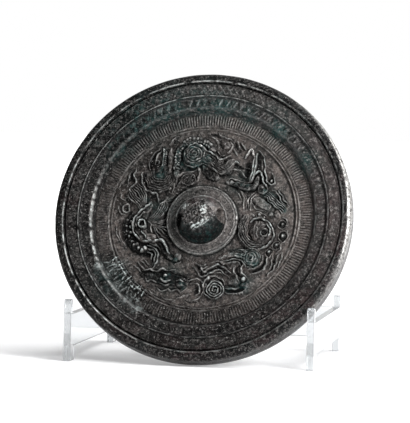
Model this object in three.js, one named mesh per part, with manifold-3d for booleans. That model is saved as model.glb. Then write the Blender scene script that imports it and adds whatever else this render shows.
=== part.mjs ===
// A cast bronze mirror with a dragon and tiger in relief round its pierced knob, leaning in a clear
// acrylic stand. Millimetres, +Z up. The decorated face looks along -Y and leans back towards +Y.
// The origin is on the surface it stands on, under the middle of the whole.
import * as THREE from 'three';
import { mergeVertices } from 'three/addons/utils/BufferGeometryUtils.js';
import Module from 'manifold-3d';

// Driving dimensions
const mirrorRadius = 62.5;
const lean = THREE.MathUtils.degToRad(20);
const gap = 0.3;                  // between pieces that touch
const teeth = 98;                 // in the sawtooth band; the turned surfaces use the same division

// Levels of the decorated face above the edge of the plain back
const level = {
  back: 0, backBulge: -0.8, border: 8.4, borderEdge: 7.9, zigzag: 7.5,
  cord: 7.9, sawtooth: 7.1, comb: 3.1, line: 3.4, field: 2.7, ring: 4.2, knobTop: 13.2,
};
const radius = {
  borderInner: 58.4, grooveInner: 57.7, cordOuter: 52.9, cordInner: 52.2, stepTop: 47.4,
  stepFoot: 46.8, lineOuter: 39.8, lineInner: 39.2,
  ring: 14.5, knob: 10.4,
};

const knobShift = [-0.5, -1];     // of the knob and its ring from the disc's middle
const holeWidth = 6.2;            // cord hole through the knob
const holeHeight = 6.2;

const sawtooth = { height: 0.9, sunk: 0.3, fill: 0.9, tipClear: 0.9, baseClear: 0.3 };

// How finely the round forms are faceted
const facets = {
  knobRing: 56, knob: 24, knobRows: 5, hole: 14, ring: 10, spiralTurn: 8,
  boss: [8, 4], bead: [5, 3], corner: 5, ridge: 1.15,
};

// Acrylic stand
const sheet = 3;
const sideSpacing = 101;          // between the middles of the side plates
const plateLow = 6;               // underside of the side plates between their feet
const plateTop = 19.6;
const lipTop = 25.6;
const lipDepth = 3.4;
const frontFoot = 7;
const rearFoot = 6;
const rearTabTop = 24.6;
const rearTabDepth = 4;
const standFront = -4;            // from the line on which the mirror's back edge stands
const standRear = 84;
const strutTop = 72;
const strutTopDepth = 7;
const corner = { lip: 2, edge: 1, strut: 3 };   // rounding radii
const standShift = -1.5;          // the disc stands a little right of the stand's middle

const finish = {
  bronze: new THREE.MeshStandardMaterial({ color: 0x4a443f, roughness: 0.45, metalness: 0.8 }),
  acrylic: new THREE.MeshStandardMaterial({
    color: 0xf2f5f6, roughness: 0.05, metalness: 0, transparent: true, opacity: 0.35,
  }),
};

const wasm = await Module();
wasm.setup();

// Solids to manifold-3d and back

function toSolid(geometry) {
  const bare = geometry.index ? geometry.toNonIndexed() : geometry.clone();
  bare.deleteAttribute('normal');
  bare.deleteAttribute('uv');
  const merged = mergeVertices(bare, 1e-4);
  return new wasm.Manifold(new wasm.Mesh({
    numProp: 3,
    vertProperties: Float32Array.from(merged.attributes.position.array),
    triVerts: Uint32Array.from(merged.index.array),
  }));
}

function toGeometry(solid) {
  const mesh = solid.getMesh();
  const geometry = new THREE.BufferGeometry();
  geometry.setAttribute('position', new THREE.BufferAttribute(mesh.vertProperties, 3));
  geometry.setIndex(new THREE.BufferAttribute(mesh.triVerts, 1));
  geometry.computeVertexNormals();
  return geometry;
}

// The disc's own frame: x to the right, y up the decorated face, z out of it

function turned(profile, segments = teeth) {
  const points = profile.map(([r, z]) => new THREE.Vector2(r, z));
  const geometry = new THREE.LatheGeometry(points, segments);
  return toSolid(geometry.rotateX(Math.PI / 2));
}

// A round-backed ridge that follows a path and thins towards its ends
function ridge(path, width, height, { tip = 0.3, steps = facets.ridge } = {}) {
  const curve = new THREE.CatmullRomCurve3(path.map(([x, y]) => new THREE.Vector3(x, y, 0)));
  const count = Math.max(3, Math.round(path.length * steps));
  const section = [[-1, -0.3], [-0.7, 0.72], [0, 1], [0.7, 0.72], [1, -0.3], [0, -0.5]];
  const positions = [];
  for (let i = 0; i <= count; i += 1) {
    const along = i / count;
    const middle = curve.getPointAt(along);
    const tangent = curve.getTangentAt(along);
    const swell = tip + (1 - tip) * Math.sin(Math.PI * along) ** 0.6;
    for (const [side, rise] of section) {
      const across = side * width / 2 * swell;
      positions.push(
        middle.x - tangent.y * across,
        middle.y + tangent.x * across,
        level.field + rise * height * (0.5 + swell / 2),
      );
    }
  }
  const sides = section.length;
  const index = [];
  for (let i = 0; i < count; i += 1) {
    for (let k = 0; k < sides; k += 1) {
      const a = i * sides + k;
      const b = i * sides + (k + 1) % sides;
      index.push(a, a + sides, b, b, a + sides, b + sides);
    }
  }
  for (let k = 1; k < sides - 1; k += 1) {
    const last = count * sides;
    index.push(0, k, k + 1, last, last + k + 1, last + k);
  }
  const geometry = new THREE.BufferGeometry();
  geometry.setAttribute('position', new THREE.Float32BufferAttribute(positions, 3));
  geometry.setIndex(index);
  return toSolid(geometry);
}

function boss(x, y, size, height, stretch = 1, turn = 0) {
  const geometry = new THREE.SphereGeometry(1, ...facets.boss);
  geometry.rotateX(Math.PI / 2);
  geometry.scale(size, size * stretch, height);
  geometry.rotateZ(THREE.MathUtils.degToRad(turn));
  geometry.translate(x, y, level.field);
  return toSolid(geometry);
}

function raisedRing(x, y, size, width, height) {
  const profile = [
    [size - width / 2, level.field - 0.5], [size + width / 2, level.field - 0.5],
    [size + width / 2, level.field + height * 0.6], [size, level.field + height],
    [size - width / 2, level.field + height * 0.6], [size - width / 2, level.field - 0.5],
  ];
  return turned(profile, facets.ring).translate([x, y, 0]);
}

function spiralPath(x, y, outer, turns, start, inner = 0.8) {
  const points = [];
  const count = Math.round(turns * facets.spiralTurn);
  for (let i = 0; i <= count; i += 1) {
    const share = i / count;
    const r = outer + (inner - outer) * share;
    const angle = start + turns * 2 * Math.PI * share;
    points.push([x + r * Math.cos(angle), y + r * Math.sin(angle)]);
  }
  return points;
}

// Domed beads spaced evenly along a path
function beads(path, count, size, height) {
  const curve = new THREE.CatmullRomCurve3(path.map(([x, y]) => new THREE.Vector3(x, y, 0)));
  return curve.getSpacedPoints(count - 1).map((p) => {
    const geometry = new THREE.SphereGeometry(1, ...facets.bead).rotateX(Math.PI / 2);
    geometry.scale(size, size, height).translate(p.x, p.y, level.field + 0.2);
    return toSolid(geometry);
  });
}

// The top creature: a spiral shoulder with a beaded crest, its neck and body running right
function topCreature() {
  return [
    boss(-6, 28, 5.6, 2.6, 0.9),
    raisedRing(-6, 28.2, 2.6, 0.9, 3),
    ridge([[-4, 27.5], [1, 26.8], [4.5, 23.5], [7.5, 22], [9.5, 24.5]], 6.6, 2.4, { tip: 0.5 }),
    ridge([[-13, 20.5], [-13, 25], [-11.5, 30], [-7, 33.5], [-2, 33], [2, 30]], 3.6, 1.2),
    ridge([[-13.5, 14.5], [-12, 18.3], [-9, 20.2], [-6, 19.7]], 1.2, 1),
    boss(-8, 17.6, 3.4, 1.7, 0.68, 8),
    ridge([[-2, 22.5], [1.5, 19], [4.8, 16.8]], 4.4, 1.8),
    boss(7, 32, 2.1, 1.6),
    ridge([[8.5, 34.3], [9.8, 31.5], [7.6, 28.9]], 1.4, 1.3),
    ridge([[11, 34], [12, 31.5], [13.4, 29.5]], 1.6, 1.2),
    ...beads([[-13.8, 20], [-13.6, 25], [-12, 31], [-7.5, 34.8], [-1.5, 34], [1.5, 31]], 10, 0.8, 1.5),
  ];
}

// The right-hand limbs, wing and teardrop above the haunch
function rightLimbs() {
  return [
    ridge([[10, 22.5], [12, 25], [16.2, 22.5]], 1.4, 1.8),
    ridge([[18.8, 30], [18.9, 24], [17.6, 16.6]], 2.2, 2.2),
    ridge([[21, 30.6], [21, 25], [21, 19.5]], 2.2, 2),
    ridge([[20.6, 31], [23.6, 25], [24.6, 18.8], [26.2, 15.4]], 1.3, 1.6),
    ridge([[22.4, 19.5], [21.8, 15.3], [17.5, 13.6], [13, 16], [9.2, 16]], 3.3, 2.6),
    boss(24, 12.6, 2.1, 2),
    boss(27.2, 17.3, 1.7, 1.5, 1.5, 25),
    boss(23.9, 7, 4, 1.7, 0.52, -30),
    ridge([[25.5, 12], [29.3, 9], [32, 6], [35, 3]], 3.8, 1.8),
  ];
}

// The haunch at the right with its ringed joint, the tail and the clouds below it
function rightHaunch() {
  return [
    ridge([[18.5, 2], [16.6, -3], [17.6, -9.5], [25.5, -11.5]], 4.6, 1.9, { tip: 0.5 }),
    boss(24.6, -5.4, 5.2, 2.5, 1.15, 8),
    raisedRing(25.9, -5.6, 1.6, 0.9, 3),
    ridge([[22, 2.5], [27.5, -0.5], [29.8, -6], [24.6, -13.6]], 1.5, 2.4),
    boss(28.4, 2.2, 1.3, 1.3),
    boss(33.3, -1.4, 1.5, 1.5),
    boss(33.8, -6.9, 1.4, 1.5),
    boss(31.2, -11, 1.4, 1.3),
    boss(28.6, -14, 1.4, 1.2),
    ridge([[24, -12.6], [19, -14.4], [13.5, -15.2], [8.6, -17]], 4.4, 1.8),
    ridge([[8, -18.6], [14, -17.6], [19.4, -19.6]], 2.4, 1.4),
    boss(21.6, -17, 4, 1.8, 0.9, 20),
    ridge([[26.6, -15.6], [27.4, -19.5], [23, -23.6]], 1.6, 1.4),
    ridge([[33, -14], [31.2, -19.5], [27.8, -24]], 1.4, 1.4),
  ];
}

// The curls along the bottom: a two-turn spiral, arcs, a wave, a hooked curl and three bosses
function bottomCurls() {
  return [
    ridge(spiralPath(7, -30.5, 4.9, 2, Math.PI * 0.7), 1.1, 1.6, { steps: 1, tip: 0.5 }),
    ridge([[-4.5, -19.6], [0.2, -23.6], [2.6, -24.8], [8, -21.6], [14.6, -25.4]], 1.5, 1.6),
    ridge([[1.4, -26], [2.4, -29.6], [-2, -35.4], [-5.4, -34]], 1.3, 1.3),
    ridge([[15.6, -19.8], [15, -23], [18.4, -27.4], [16.6, -29.6], [12.4, -29.4]], 1.5, 2),
    boss(14.4, -27.2, 2.3, 1.4, 0.8, 20),
    boss(18.8, -25.4, 1.1, 2.1),
    boss(-20.6, -26.4, 2.4, 1.9),
    boss(-13.5, -26.6, 2.9, 2.2),
    boss(-7.6, -28, 2.4, 2),
    ridge([[-22.4, -26], [-13.5, -27.4], [-7.5, -28.6]], 3, 1.1),
    ridge([[-17.4, -28.6], [-13, -31.5], [-9, -30.4]], 1.2, 1.1),
    ridge([[-26.4, -20.4], [-23.2, -23.6]], 1.4, 1.2),
  ];
}

// The left creature: a ringed eye, beaded back, striped chest, and a foreleg down to its claw
function leftCreature() {
  return [
    ridge([[-23, 5], [-26.4, 0.5], [-26.8, -5], [-24, -8.4], [-19.6, -7.4]], 5.8, 2.2, { tip: 0.5 }),
    raisedRing(-26, -3.4, 1.4, 0.8, 3),
    ridge([[-31, -0.5], [-32.4, -6], [-29, -12.5], [-23, -15]], 4.4, 1.4),
    ridge([[-23.8, 6.4], [-29, -0.4], [-29.9, -4], [-25, -10.8], [-21, -11]], 1.5, 2.7),
    ridge([[-21.6, -11.2], [-15.8, -11.2], [-12.2, -17], [-9.8, -18.2]], 2.5, 2.7),
    boss(-9.4, -17.6, 1.7, 2.2),
    ridge([[-24.6, -13], [-19, -13.6], [-17.6, -17], [-19.6, -22.8]], 3, 1.7),
    ridge([[-20.2, 9.6], [-17.6, 6.2], [-18.4, 2.4], [-22.2, -0.6]], 1.2, 1.6),
    ridge([[-17.4, 10.4], [-15.1, 6.6], [-15.6, 2.4], [-19.4, -2.2]], 1.2, 1.6),
    ...beads([[-31.6, -0.6], [-33, -4.2], [-30.2, -11], [-24, -15]], 9, 0.8, 1.9),
  ];
}

// The mane, the round fan and the leaf at the upper left
function upperLeft() {
  return [
    boss(-19.6, 15.6, 6, 1.9, 0.92),
    ridge([[-20.5, 30.4], [-24, 23], [-21.4, 17.6]], 1.4, 1.8),
    ridge([[-16.4, 30.4], [-16, 23], [-17.6, 20]], 2.2, 1.4),
    ridge([[-26.8, 19], [-27, 15.4], [-20.6, 9.6]], 1.6, 1.4),
    ridge([[-33.4, 12.6], [-33, 16], [-31.6, 20.4]], 2.2, 1.3),
    ridge([[-32.8, 11.4], [-27.4, 7.4], [-25.6, 4.2]], 1.2, 1.5),
    ridge([[-34, 8.2], [-29.4, 4.6]], 1.2, 1.4),
    ridge([[-29, 13.2], [-24.2, 10.4], [-19.6, 7.4]], 1.2, 1.5),
    raisedRing(-32.8, 3, 1.6, 0.9, 1.4),
  ];
}

function reliefField() {
  return [
    ...topCreature(), ...rightLimbs(), ...rightHaunch(),
    ...bottomCurls(), ...leftCreature(), ...upperLeft(),
  ];
}

function disc() {
  return turned([
    [0, level.backBulge], [mirrorRadius / 2, level.backBulge * 0.75], [mirrorRadius, level.back],
    [mirrorRadius, level.borderEdge - 0.6], [mirrorRadius - 0.8, level.borderEdge + 0.3],
    [radius.borderInner, level.border], [radius.grooveInner, level.zigzag],
    [radius.cordOuter, level.zigzag],
    [(radius.cordOuter + radius.cordInner) / 2, level.cord], [radius.cordInner, level.sawtooth],
    [radius.stepTop, level.sawtooth], [radius.stepFoot, level.comb],
    [radius.lineOuter, level.comb], [(radius.lineOuter + radius.lineInner) / 2, level.line],
    [radius.lineInner, level.field],
    [0, level.field],
  ]);
}

// The flat ring that the knob stands on; both stand a little off the disc's middle
function knobRing() {
  return turned([
    [0, level.field - 1], [radius.ring + 0.5, level.field - 1], [radius.ring + 0.5, level.field],
    [radius.ring, level.ring], [0, level.ring],
  ], facets.knobRing).translate([...knobShift, 0]);
}

// Triangular teeth with their bases along the outer line and their points inwards
function sawteeth() {
  const half = Math.PI / teeth;
  const outer = radius.cordInner - sawtooth.baseClear;
  const inner = radius.stepTop + sawtooth.tipClear;
  const tooth = new THREE.Shape([
    new THREE.Vector2(outer * Math.cos(half * sawtooth.fill), -outer * Math.sin(half * sawtooth.fill)),
    new THREE.Vector2(outer * Math.cos(half * sawtooth.fill), outer * Math.sin(half * sawtooth.fill)),
    new THREE.Vector2(inner, 0),
  ]);
  return Array.from({ length: teeth }, (_, i) => {
    const geometry = new THREE.ExtrudeGeometry(tooth, { depth: sawtooth.height, bevelEnabled: false });
    geometry.rotateZ(2 * half * i).translate(0, 0, level.sawtooth - sawtooth.sunk);
    return toSolid(geometry);
  });
}

// A dome pierced from side to side by an arched hole for a cord
function knobGeometry() {
  const foot = level.ring + gap;
  const height = level.knobTop - foot;
  const profile = [[0, foot], [radius.knob, foot]];
  for (let i = 1; i < facets.knobRows; i += 1) {
    const angle = Math.PI / 2 * i / facets.knobRows;
    profile.push([radius.knob * Math.cos(angle), foot + height * Math.sin(angle)]);
  }
  profile.push([0, level.knobTop]);

  const length = radius.knob * 2 + 2;
  const middle = foot + holeHeight - holeWidth / 2;
  const arch = new THREE.CylinderGeometry(holeWidth / 2, holeWidth / 2, length, facets.hole);
  arch.rotateZ(Math.PI / 2).translate(0, 0, middle);
  const slot = new THREE.BoxGeometry(length, holeWidth, middle - foot + 1);
  slot.translate(0, 0, (middle + foot - 1) / 2);
  const tunnel = toSolid(arch).add(toSolid(slot));
  return toGeometry(turned(profile, facets.knob).subtract(tunnel).translate([...knobShift, 0]));
}

function mirrorGeometry() {
  return toGeometry(wasm.Manifold.union([disc(), knobRing(), ...sawteeth(), ...reliefField()]));
}

// Stand outlines are drawn in the side view: depth to the right, height up

function sidePlateOutline() {
  const rear = standRear;
  const front = standFront;
  const shape = new THREE.Shape();
  shape.moveTo(front, 0);
  shape.lineTo(front + frontFoot, 0);
  shape.lineTo(front + frontFoot, plateLow);
  shape.lineTo(rear - rearFoot, plateLow);
  shape.lineTo(rear - rearFoot, 0);
  shape.lineTo(rear, 0);
  shape.lineTo(rear, rearTabTop - corner.edge);
  shape.absarc(rear - corner.edge, rearTabTop - corner.edge, corner.edge, 0, Math.PI / 2, false);
  shape.lineTo(rear - rearTabDepth, rearTabTop);
  shape.lineTo(rear - rearTabDepth, plateTop);
  shape.lineTo(front + lipDepth, plateTop);
  shape.lineTo(front + lipDepth, lipTop - corner.edge);
  shape.absarc(front + lipDepth - corner.edge, lipTop - corner.edge, corner.edge, 0, Math.PI / 2, false);
  shape.absarc(front + corner.lip, lipTop - corner.lip, corner.lip, Math.PI / 2, Math.PI, false);
  shape.closePath();
  return shape;
}

// The gusset behind the disc: its front edge carries the plain back at the mirror's lean
function strutOutline() {
  const slope = Math.tan(lean);
  const clear = (gap - level.backBulge) / Math.cos(lean);
  const rear = standRear - rearFoot / 2 - sheet / 2 - gap;
  const shape = new THREE.Shape();
  shape.moveTo(clear, 0);
  shape.lineTo(rear, 0);
  shape.lineTo(rear, plateTop);
  const top = clear + slope * strutTop;
  shape.lineTo(top + strutTopDepth, strutTop);
  shape.absarc(top + strutTopDepth - corner.strut, strutTop, corner.strut, 0, Math.PI * 0.9, false);
  shape.closePath();
  return shape;
}

// Turns a side-view outline into an upright sheet across X, centred at x
function uprightSheet(outline, x) {
  const geometry = new THREE.ExtrudeGeometry(outline, {
    depth: sheet, bevelEnabled: false, curveSegments: facets.corner,
  });
  geometry.rotateX(Math.PI / 2).rotateZ(Math.PI / 2);
  return geometry.translate(x - sheet / 2, 0, 0);
}

function rearPanelGeometry() {
  const width = sideSpacing - sheet - 2 * gap;
  const outline = new THREE.Shape();
  outline.moveTo(-width / 2, plateLow);
  outline.lineTo(width / 2, plateLow);
  outline.lineTo(width / 2, plateTop);
  outline.lineTo(-width / 2, plateTop);
  outline.closePath();
  const geometry = new THREE.ExtrudeGeometry(outline, { depth: sheet, bevelEnabled: false });
  return geometry.rotateX(Math.PI / 2).translate(standShift, standRear - rearFoot / 2 + sheet / 2, 0);
}

function named(name, geometry, material) {
  const mesh = new THREE.Mesh(geometry, material);
  mesh.name = name;
  return mesh;
}

// Assembly: the mirror's lowest edge and the stand's feet stand on z = 0

const casting = new THREE.Group();
casting.add(
  named('mirror', mirrorGeometry(), finish.bronze),
  named('mirror_knob', knobGeometry(), finish.bronze),
);
casting.rotation.x = Math.PI / 2 - lean;
casting.position.set(0, mirrorRadius * Math.sin(lean), mirrorRadius * Math.cos(lean));

const frontReach = -level.borderEdge * Math.cos(lean);
const part = new THREE.Group();
part.add(
  casting,
  named('stand_side_left', uprightSheet(sidePlateOutline(), standShift - sideSpacing / 2), finish.acrylic),
  named('stand_side_right', uprightSheet(sidePlateOutline(), standShift + sideSpacing / 2), finish.acrylic),
  named('stand_rear_panel', rearPanelGeometry(), finish.acrylic),
  named('stand_back_strut', uprightSheet(strutOutline(), standShift), finish.acrylic),
);
part.position.y = -(frontReach + standRear) / 2;

export default part;
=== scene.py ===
import math
import bpy
import numpy as np
from mathutils import Matrix, Vector


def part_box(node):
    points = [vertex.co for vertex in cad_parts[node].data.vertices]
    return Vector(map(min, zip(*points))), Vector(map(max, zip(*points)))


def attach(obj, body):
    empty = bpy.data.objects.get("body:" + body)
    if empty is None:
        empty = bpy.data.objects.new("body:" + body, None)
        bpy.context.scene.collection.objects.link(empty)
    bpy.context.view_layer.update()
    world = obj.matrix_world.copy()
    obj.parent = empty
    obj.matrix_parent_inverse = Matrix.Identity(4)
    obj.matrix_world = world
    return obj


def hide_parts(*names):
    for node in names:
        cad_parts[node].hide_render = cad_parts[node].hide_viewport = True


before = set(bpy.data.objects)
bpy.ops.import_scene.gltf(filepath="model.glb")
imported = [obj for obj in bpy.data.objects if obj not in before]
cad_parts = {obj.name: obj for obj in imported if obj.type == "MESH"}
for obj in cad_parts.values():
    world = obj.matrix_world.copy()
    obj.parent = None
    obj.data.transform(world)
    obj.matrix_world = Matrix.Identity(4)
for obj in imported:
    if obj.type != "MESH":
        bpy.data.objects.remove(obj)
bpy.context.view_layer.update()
bpy.ops.object.select_all(action="DESELECT")
print("frame loaded")

mm = 0.001
discSet = {"radius": 62.5, "lean": 20, "backBulge": -0.8}  # mm and degrees

# where the disc stands, from the frame: it leans back with its lowest edge on the floor
low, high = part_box("mirror")
lean = math.radians(discSet["lean"])
discCentre = Vector((
    (low.x + high.x) / 2,
    high.y - discSet["radius"] * mm * math.sin(lean),
    low.z + discSet["radius"] * mm * math.cos(lean),
))
discTurn = (math.pi / 2 - lean, 0, 0)
discPlace = Matrix.Translation(discCentre) @ Matrix.Rotation(discTurn[0], 4, "X")


def unit(values):
    return np.clip(values, 0, 1)


def polar(co):
    return np.hypot(co[:, 0], co[:, 1]), np.arctan2(co[:, 1], co[:, 0])


def byAngle(a, table):
    # a value from a table of (degrees from the right, anticlockwise, value)
    return np.interp(np.degrees(a) % 360, *zip(*table))


def even(a, b, count):
    return [a + (b - a) * k / count for k in range(count + 1)]


def band(r, a, b, soft=0.25):
    # 1 between the radii a and b, with soft edges
    return unit((r - a) / soft + 0.5) * unit((b - r) / soft + 0.5)


def zone(r, strength, *edges):
    return strength * band(r, *edges)


def bump(distance, width):
    return (1 - unit(np.abs(distance) / (width / 2)) ** 2) ** 0.6


def wave(a, count, phase=0.0):
    # a zigzag between 0 and 1
    t = (a * count / (2 * math.pi) + phase) % 1
    return 1 - np.abs(2 * t - 1)


def rough(x, y, scale, seed):
    # soft unevenness between -1 and 1, the same each run
    chance = np.random.default_rng(seed)
    waves = 14
    total = np.zeros(np.shape(x))
    for k in range(waves):
        a = chance.uniform(0, 2 * math.pi)
        f = chance.uniform(0.6, 1.7) * 2 * math.pi / scale
        total += np.sin(f * (x * math.cos(a) + y * math.sin(a)) + chance.uniform(0, 2 * math.pi))
    return total / waves ** 0.5 / 1.2


def patchy(x, y, middle, swing, scale, seed, least=0, most=1):
    # a strength that comes and goes over the surface
    return np.clip(middle + swing * rough(x, y, scale, seed), least, most)


def glow(x, y, spots):
    # the sum of soft round spots (x, y, size)
    return sum(np.exp(-((x - u) ** 2 + (y - v) ** 2) / size ** 2) for u, v, size in spots)


# the relief is drawn on sheets of heights: x to the right, y up and heights out, in mm
def smoothPath(points, perSpan=8):
    # a curve through the points, given as x, y, x, y, ..., and the share of its length at each sample
    p = np.reshape(points, (-1, 2)).astype(float)
    if len(p) == 2:
        p = np.vstack([p[0], (p[0] + p[1]) / 2, p[1]])
    ends = np.vstack([2 * p[0] - p[1], p, 2 * p[-1] - p[-2]])
    t = np.linspace(0, 1, perSpan, endpoint=False)[:, None]
    spans = [0.5 * (2 * b + (c - a) * t + (2 * a - 5 * b + 4 * c - d) * t ** 2 + (3 * b - a - 3 * c + d) * t ** 3)
             for a, b, c, d in zip(ends[:-3], ends[1:-2], ends[2:-1], ends[3:])]
    line = np.vstack(spans + [p[-1:]])
    step = np.hypot(*np.diff(line, axis=0).T)
    return line, np.concatenate([[0], np.cumsum(step)]) / step.sum()


class HeightSheet:
    def __init__(self, half, spacing, base):
        self.half, self.spacing, self.base, self.gain = half, spacing, base, 1.0
        axis = np.arange(-half, half + spacing / 2, spacing)
        self.x, self.y = np.meshgrid(axis, axis)
        self.h = np.full(self.x.shape, base, float)

    def window(self, x0, x1, y0, y1):
        ends = (x0, x1 + self.spacing, y0, y1 + self.spacing)
        c = [int(np.clip((v + self.half) / self.spacing, 0, len(self.x))) for v in ends]
        return slice(c[2], c[3] + 1), slice(c[0], c[1] + 1)

    def lay(self, w, rise, inside, add):
        h, rise = self.h[w], rise * self.gain
        self.h[w] = np.where(inside, h + rise if add else np.maximum(h, self.base + rise), h)

    def stroke(self, path, width, height, tip=0.3, tail=None, shape=0.5, add=False):
        # a raised line or body that thins to its tip and tail
        tail = tip if tail is None else tail
        line, share = smoothPath(path)
        (x0, y0), (x1, y1) = line.min(0) - width, line.max(0) + width
        w = self.window(x0, x1, y0, y1)
        px, py = self.x[w], self.y[w]
        best, where = np.full(px.shape, 1e9), np.zeros(px.shape)
        for a, b, s0, s1 in zip(line[:-1], line[1:], share[:-1], share[1:]):
            d = b - a
            t = unit(((px - a[0]) * d[0] + (py - a[1]) * d[1]) / max(d @ d, 1e-12))
            dist = np.hypot(px - a[0] - t * d[0], py - a[1] - t * d[1])
            closer = dist < best
            best = np.where(closer, dist, best)
            where = np.where(closer, s0 + t * (s1 - s0), where)
        thin = np.where(where < 0.5, tip, tail)
        grow = thin + (1 - thin) * unit(np.sin(np.pi * where)) ** 0.7
        d = unit(best / (width / 2 * grow))
        rise = height * (0.45 + 0.55 * grow) * (1 - d ** 2) ** shape
        self.lay(w, rise, d < 1, add)

    def lines(self, paths, width, height, **more):
        for path in paths:
            self.stroke(path, width, height, **more)

    def oval(self, at, size, stretch, turn):
        reach = size * max(1, stretch) * 1.1
        w = self.window(at[0] - reach, at[0] + reach, at[1] - reach, at[1] + reach)
        c, s = math.cos(math.radians(turn)), math.sin(math.radians(turn))
        dx, dy = self.x[w] - at[0], self.y[w] - at[1]
        return w, np.hypot(dx * c + dy * s, (-dx * s + dy * c) / stretch)

    def boss(self, at, size, height, stretch=1.0, turn=0.0, shape=0.5, add=False):
        w, far = self.oval(at, size, stretch, turn)
        d = unit(far / size)
        self.lay(w, height * (1 - d ** 2) ** shape, d < 1, add)

    def ring(self, at, size, width, height, stretch=1.0, turn=0.0, add=False):
        w, far = self.oval(at, size + width, stretch, turn)
        d = unit(np.abs(far - size) / (width / 2))
        self.lay(w, height * (1 - d ** 2) ** 0.6, d < 1, add)

    def beads(self, path, count, size, height, add=False):
        line, share = smoothPath(path)
        for s in (np.arange(count) + 0.5) / count:
            self.boss((np.interp(s, share, line[:, 0]), np.interp(s, share, line[:, 1])), size, height, add=add)

    def arc(self, at, radius, angles, width, height):
        turns = np.radians(angles)
        path = np.column_stack([at[0] + radius * np.cos(turns), at[1] + radius * np.sin(turns)])
        self.stroke(path, width, height)

    def spiral(self, at, outer, inner, turns, start, width, height):
        share = np.linspace(0, 1, int(turns * 8) + 1)
        a, r = math.radians(start) + 2 * math.pi * turns * share, outer + (inner - outer) * share
        path = np.column_stack([at[0] + r * np.cos(a), at[1] + r * np.sin(a)])
        self.stroke(path, width, height, tip=0.6)

    def blurred(self, size):
        # the sheet softened over a distance in mm, edges held
        pad = int(3 * size / self.spacing)
        h = np.pad(self.h, pad, mode="edge")
        f = np.fft.fftfreq(h.shape[0], self.spacing)
        soft = np.exp(-2 * (np.pi * size) ** 2 * (f[:, None] ** 2 + f[None, :] ** 2))
        return np.real(np.fft.ifft2(np.fft.fft2(h) * soft))[pad:-pad, pad:-pad]

    def read(self, sheet, x, y):
        # values of a sheet of this size at any points
        n = sheet.shape[0]
        u = np.clip((x + self.half) / self.spacing, 0, n - 1.001)
        v = np.clip((y + self.half) / self.spacing, 0, n - 1.001)
        i, j = u.astype(int), v.astype(int)
        fu, fv = u - i, v - j
        return ((sheet[j, i] * (1 - fu) + sheet[j, i + 1] * fu) * (1 - fv)
                + (sheet[j + 1, i] * (1 - fu) + sheet[j + 1, i + 1] * fu) * fv)


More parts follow.
